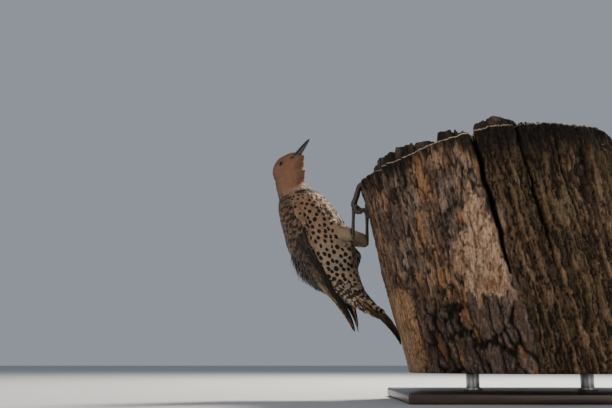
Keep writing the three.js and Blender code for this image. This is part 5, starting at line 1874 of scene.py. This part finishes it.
def makeBillTuft():
    # short feathers that point forward over the bill's root and the nostrils
    rng = np.random.default_rng(61)
    count, steps = 190, 6
    angle = np.radians(rng.uniform(-104, 104, count))
    v = np.linspace(0, 1, steps)
    onSide = np.stack([0 * angle, 0 * angle, 3.1 * np.cos(angle) + 0.2], axis=-1)
    start = billLine(onSide) - rng.uniform(1.2, 3.0, count)
    x = start[:, None] + (3.0 + 0.9 * rng.uniform(-1, 1, count))[:, None] * v[None]
    z = np.interp(x, upperRows[:, 0], upperRows[:, 1])
    up = np.interp(x, upperRows[:, 0], upperRows[:, 2])
    wide = np.interp(x, upperRows[:, 0], upperRows[:, 4])
    s, c = np.sin(angle)[:, None], np.cos(angle)[:, None]
    tall = np.where(c > 0, up, 3.9)
    off = 0.1 + 0.42 * v[None] ** 0.7 * rng.uniform(0.6, 1.2, count)[:, None]
    lines = np.stack([x, s * (wide + off), z + c * (tall + off)], axis=-1)
    ups = np.stack([x * 0 - 0.2, s / 1.1 + 0 * x, c + 0 * x], axis=-1)
    lines = fromHead(lines.reshape(-1, 3)).reshape(count, steps, 3)
    ups = unit((fromHead(ups.reshape(-1, 3)) - fromHead(np.zeros((1, 3)))).reshape(count, steps, 3))
    width = 1.15 * bladeProfile(v, 0.5, 0.1, 0.6)[None] * np.ones((count, 1))
    ground = mix(tone["face"], tone["crown"], rng.uniform(0.0, 0.7, (count, 1))) * 0.95
    colors = np.broadcast_to(ground[:, None, None, :], (count, steps, 8, 3))
    makeBlades("billTuft", lines, ups, width, tuftPaint, colors, thick=0.07, camber=0.1, shaftRise=0.03)


tuftPaint = barredMaterial("billTuftPaint", 2.0, 0.0, tuple(tone["crown"]), 0.03, 0.2, 0.7)
makeBill()
makeBillTuft()
print("bill made")


# ---- eyes and lids ----

eyePlan = {
    "radius": 4.1, "place": (2.0, 9.0, 3.0), "facing": (0.16, 1.0, 0.10), "pupil": 21.0, "iris": 38.0,
    "opening": (2.25, 2.05),
}
eyeTones = {"pupil": (0.003, 0.003, 0.003), "iris": (0.024, 0.009, 0.006), "irisRim": (0.008, 0.005, 0.004),
            "white": (0.02, 0.012, 0.010), "lid": (0.190, 0.100, 0.064), "lidEdge": (0.040, 0.025, 0.018)}


def eyeFrame(sign):
    # the eye's centre, the way it looks, forward along the head and up, all in the head's frame
    centre = np.array(eyePlan["place"]) * (1, sign, 1)
    facing = unit(np.array(eyePlan["facing"]) * (1, sign, 1))
    forward = unit(np.array((1.0, 0, 0)) - facing * facing[0])
    return centre, facing, forward, np.cross(forward, facing) * -sign


def eyeMaterial():
    material, tree, shader = newMaterial("glossyEye")
    color = addNode(tree, "ShaderNodeAttribute", attribute_name="eyeColor").outputs["Color"]
    tree.links.new(color, shader.inputs["Base Color"])
    shader.inputs["Roughness"].default_value = 0.12
    shader.inputs["Specular IOR Level"].default_value = 0.15
    shader.inputs["Coat Weight"].default_value = 0.15
    shader.inputs["Coat Roughness"].default_value = 0.03
    return material


def makeEyes():
    gloss = eyeMaterial()
    lidPaint = hornMaterial("lidSkin", "hornColor", 0.6, 0.05, 1600.0, 0.0001)
    rings, sides = 72, 64
    for side, sign in (("right", -1), ("left", 1)):
        centre, facing, forward, up = eyeFrame(sign)
        away = np.radians(np.linspace(0.6, 179.4, rings))[:, None]
        around = (2 * math.pi * np.arange(sides) / sides)[None]
        bulge = eyePlan["radius"] + 0.22 * np.exp(-(np.degrees(away) / 33) ** 2)
        flat = np.sin(away)[..., None] * (np.cos(around)[..., None] * forward + np.sin(around)[..., None] * up)
        points = centre + bulge[..., None] * (np.cos(away)[..., None] * facing + flat)
        angle = np.degrees(away) + 0 * around
        fibre = 0.75 + 0.25 * np.sin(around * 23 + 2 * np.sin(around * 7)) * np.sin(angle / 4)
        colors = blend(np.broadcast_to(np.array(eyeTones["pupil"]), (rings, sides, 3)), eyeTones["iris"],
                       ramp(angle, eyePlan["pupil"] - 1.5, eyePlan["pupil"] + 1.5))
        colors = colors * np.where(angle > eyePlan["pupil"], fibre, 1.0)[..., None]
        colors = blend(colors, eyeTones["irisRim"], ramp(angle, eyePlan["iris"] - 6, eyePlan["iris"]))
        colors = blend(colors, eyeTones["white"], ramp(angle, eyePlan["iris"] + 6, eyePlan["iris"] + 12))
        places = fromHead(np.vstack([points.reshape(-1, 3), points[:1].mean(axis=(0, 1))[None], points[-1:].mean(axis=(0, 1))[None]]))
        colors = np.vstack([colors.reshape(-1, 3), colors[0, :1], colors[-1, :1]])
        quads, fans = ringFaces(rings, sides, sign > 0)
        eye = makePiece("eyeball_" + side, places, [quads, fans], gloss, ("eye_" + side,))
        paint(eye, "eyeColor", colors)

        # one ring of lid skin: in over the ball, up over its thick edge, and down into the feathers
        profile = [(-0.25, -0.5), (-0.05, -0.12), (0.0, 0.05), (0.08, 0.16), (0.18, 0.2), (0.32, 0.18), (0.45, 0.13), (0.7, 0.1),
                   (1.1, 0.08), (1.5, 0.06), (1.72, -0.02), (1.72, -0.7), (0.6, -0.8), (0.1, -0.7)]
        lidSides = 96
        around = 2 * math.pi * np.arange(lidSides) / lidSides
        wide, tall = eyePlan["opening"]
        corner = 0.22 * np.abs(np.cos(around)) ** 9
        reach = 1 / np.sqrt((np.cos(around) / wide) ** 2 + (np.sin(around) / tall) ** 2) * (1 + corner)
        wrinkle = 0.05 * np.sin(around * 31 + 3 * np.sin(around * 5))
        lidRings, lidColors = [], []
        for out, lift in profile:
            flatReach = reach + out
            tilt = np.arcsin(np.clip(flatReach / (eyePlan["radius"] + 0.15), -1, 0.97))
            height = eyePlan["radius"] + 0.12 + lift * (0.9 + 0.25 * (np.sin(around) > 0)) + wrinkle * (0.2 < out)
            flat = np.cos(around)[:, None] * forward + np.sin(around)[:, None] * up
            lidRings.append(centre + height[:, None] * (np.cos(tilt)[:, None] * facing + np.sin(tilt)[:, None] * flat))
            dark = ramp(np.full(lidSides, out), 0.35, 0.0)
            lidColors.append(blend(np.broadcast_to(np.array(eyeTones["lid"]), (lidSides, 3)), eyeTones["lidEdge"], dark))
        index = np.arange(len(profile) * lidSides).reshape(len(profile), lidSides)
        a, b = index, np.roll(index, -1, axis=1)
        c, d = np.roll(b, -1, axis=0), np.roll(a, -1, axis=0)
        quads = np.stack([a, b, c, d], axis=-1).reshape(-1, 4)
        quads = quads if sign > 0 else quads[:, ::-1]
        lid = makePiece("lids_" + side, fromHead(np.concatenate(lidRings)), quads, lidPaint)
        paint(lid, "hornColor", np.concatenate(lidColors))


def ringFaces(rings, sides, flip):
    index = np.arange(rings * sides).reshape(rings, sides)
    a, b = index[:-1], np.roll(index, -1, axis=1)[:-1]
    quads = np.stack([a, b, b + sides, a + sides], axis=-1).reshape(-1, 4)
    j = np.arange(sides)
    after = (j + 1) % sides
    fans = np.concatenate([np.stack([after, j, np.full(sides, rings * sides)], axis=-1),
                           np.stack([index[-1, j], index[-1, after], np.full(sides, rings * sides + 1)], axis=-1)])
    return (quads[:, ::-1], fans[:, ::-1]) if flip else (quads, fans)


makeEyes()
print("eyes made")


# ---- the stand ----

standPlan = {"wood": (0.050, 0.028, 0.018), "woodDark": (0.018, 0.010, 0.007), "steel": (0.46, 0.47, 0.48)}


def standWood():
    material, tree, shader = newMaterial("darkStandWood")
    coords = addNode(tree, "ShaderNodeTexCoord").outputs["Object"]
    along = addNode(tree, "ShaderNodeMapping", {"Vector": coords, "Scale": (0.08, 1.0, 1.0)}).outputs[0]
    grain = addNode(tree, "ShaderNodeTexNoise", {"Vector": along, "Scale": 260.0, "Detail": 6.0, "Distortion": 0.8})
    pores = addNode(tree, "ShaderNodeTexNoise", {"Vector": along, "Scale": 1500.0, "Detail": 2.0})
    both = mathNode(tree, "MULTIPLY_ADD", grain.outputs["Fac"], 0.7, mathNode(tree, "MULTIPLY", pores.outputs["Fac"], 0.3))
    share = addNode(tree, "ShaderNodeMapRange", {0: both, 1: 0.38, 2: 0.62, 3: 0.0, 4: 1.0}).outputs[0]
    color = mixColor(tree, share, (*standPlan["woodDark"], 1), (*standPlan["wood"], 1))
    tree.links.new(color, shader.inputs["Base Color"])
    shader.inputs["Roughness"].default_value = 0.38
    shader.inputs["Coat Weight"].default_value = 0.25
    shader.inputs["Coat Roughness"].default_value = 0.25
    bump = addNode(tree, "ShaderNodeBump", {"Height": both, "Strength": 0.3, "Distance": 0.0002})
    tree.links.new(bump.outputs[0], shader.inputs["Normal"])
    return material


def standSteel():
    material, tree, shader = newMaterial("brushedSteel")
    coords = addNode(tree, "ShaderNodeTexCoord").outputs["Object"]
    around = addNode(tree, "ShaderNodeMapping", {"Vector": coords, "Scale": (0.05, 0.05, 1.0)}).outputs[0]
    brush = addNode(tree, "ShaderNodeTexNoise", {"Vector": around, "Scale": 4000.0, "Detail": 2.0})
    shade = mathNode(tree, "MULTIPLY_ADD", brush.outputs["Fac"], 0.5, 0.75)
    color = addNode(tree, "ShaderNodeVectorMath", {0: standPlan["steel"], "Scale": shade}, operation="SCALE").outputs[0]
    tree.links.new(color, shader.inputs["Base Color"])
    shader.inputs["Metallic"].default_value = 1.0
    shader.inputs["Roughness"].default_value = 0.32
    return material


def makeStand():
    wood, steel = standWood(), standSteel()
    low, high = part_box("stand_base")
    size, middle = high - low, (low + high) / 2
    deselectAll()
    bpy.ops.mesh.primitive_cube_add(size=1, location=middle)
    base = bpy.context.object
    base.name = "standBase"
    base.scale = size
    bpy.ops.object.transform_apply(location=True, rotation=False, scale=True)
    edges = base.modifiers.new("softEdges", "BEVEL")
    edges.width, edges.segments, edges.limit_method = 0.0022, 4, "NONE"
    bpy.ops.object.modifier_apply(modifier=edges.name)
    bpy.ops.object.shade_smooth_by_angle(angle=math.radians(40))
    base.data.materials.append(wood)
    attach(base, "root")
    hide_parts("stand_base")
    for name in ("stand_rod_1", "stand_rod_2"):
        low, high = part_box(name)
        middle = (low + high) / 2
        deselectAll()
        tall = high.z - low.z + 0.0024
        bpy.ops.mesh.primitive_cylinder_add(vertices=64, radius=(high.x - low.x) / 2, depth=tall, location=middle)
        rod = bpy.context.object
        rod.name = name + "Steel"
        # a collar where the rod meets the base
        bpy.ops.mesh.primitive_cylinder_add(vertices=64, radius=(high.x - low.x) / 2 + 0.0028, depth=0.0026,
                                            location=(middle.x, middle.y, low.z + 0.0010))
        collar = bpy.context.object
        for piece in (rod, collar):
            bpy.context.view_layer.objects.active = piece
            bevel = piece.modifiers.new("softEdges", "BEVEL")
            bevel.width, bevel.segments, bevel.limit_method = 0.0004, 3, "ANGLE"
            bpy.ops.object.modifier_apply(modifier=bevel.name)
        rod.select_set(True)
        collar.select_set(True)
        bpy.context.view_layer.objects.active = rod
        bpy.ops.object.join()
        bpy.ops.object.transform_apply(location=True, rotation=True, scale=True)
        bpy.ops.object.shade_smooth_by_angle(angle=math.radians(40))
        rod.data.materials.append(steel)
        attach(rod, "root")
        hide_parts(name)


makeStand()
print("stand made")
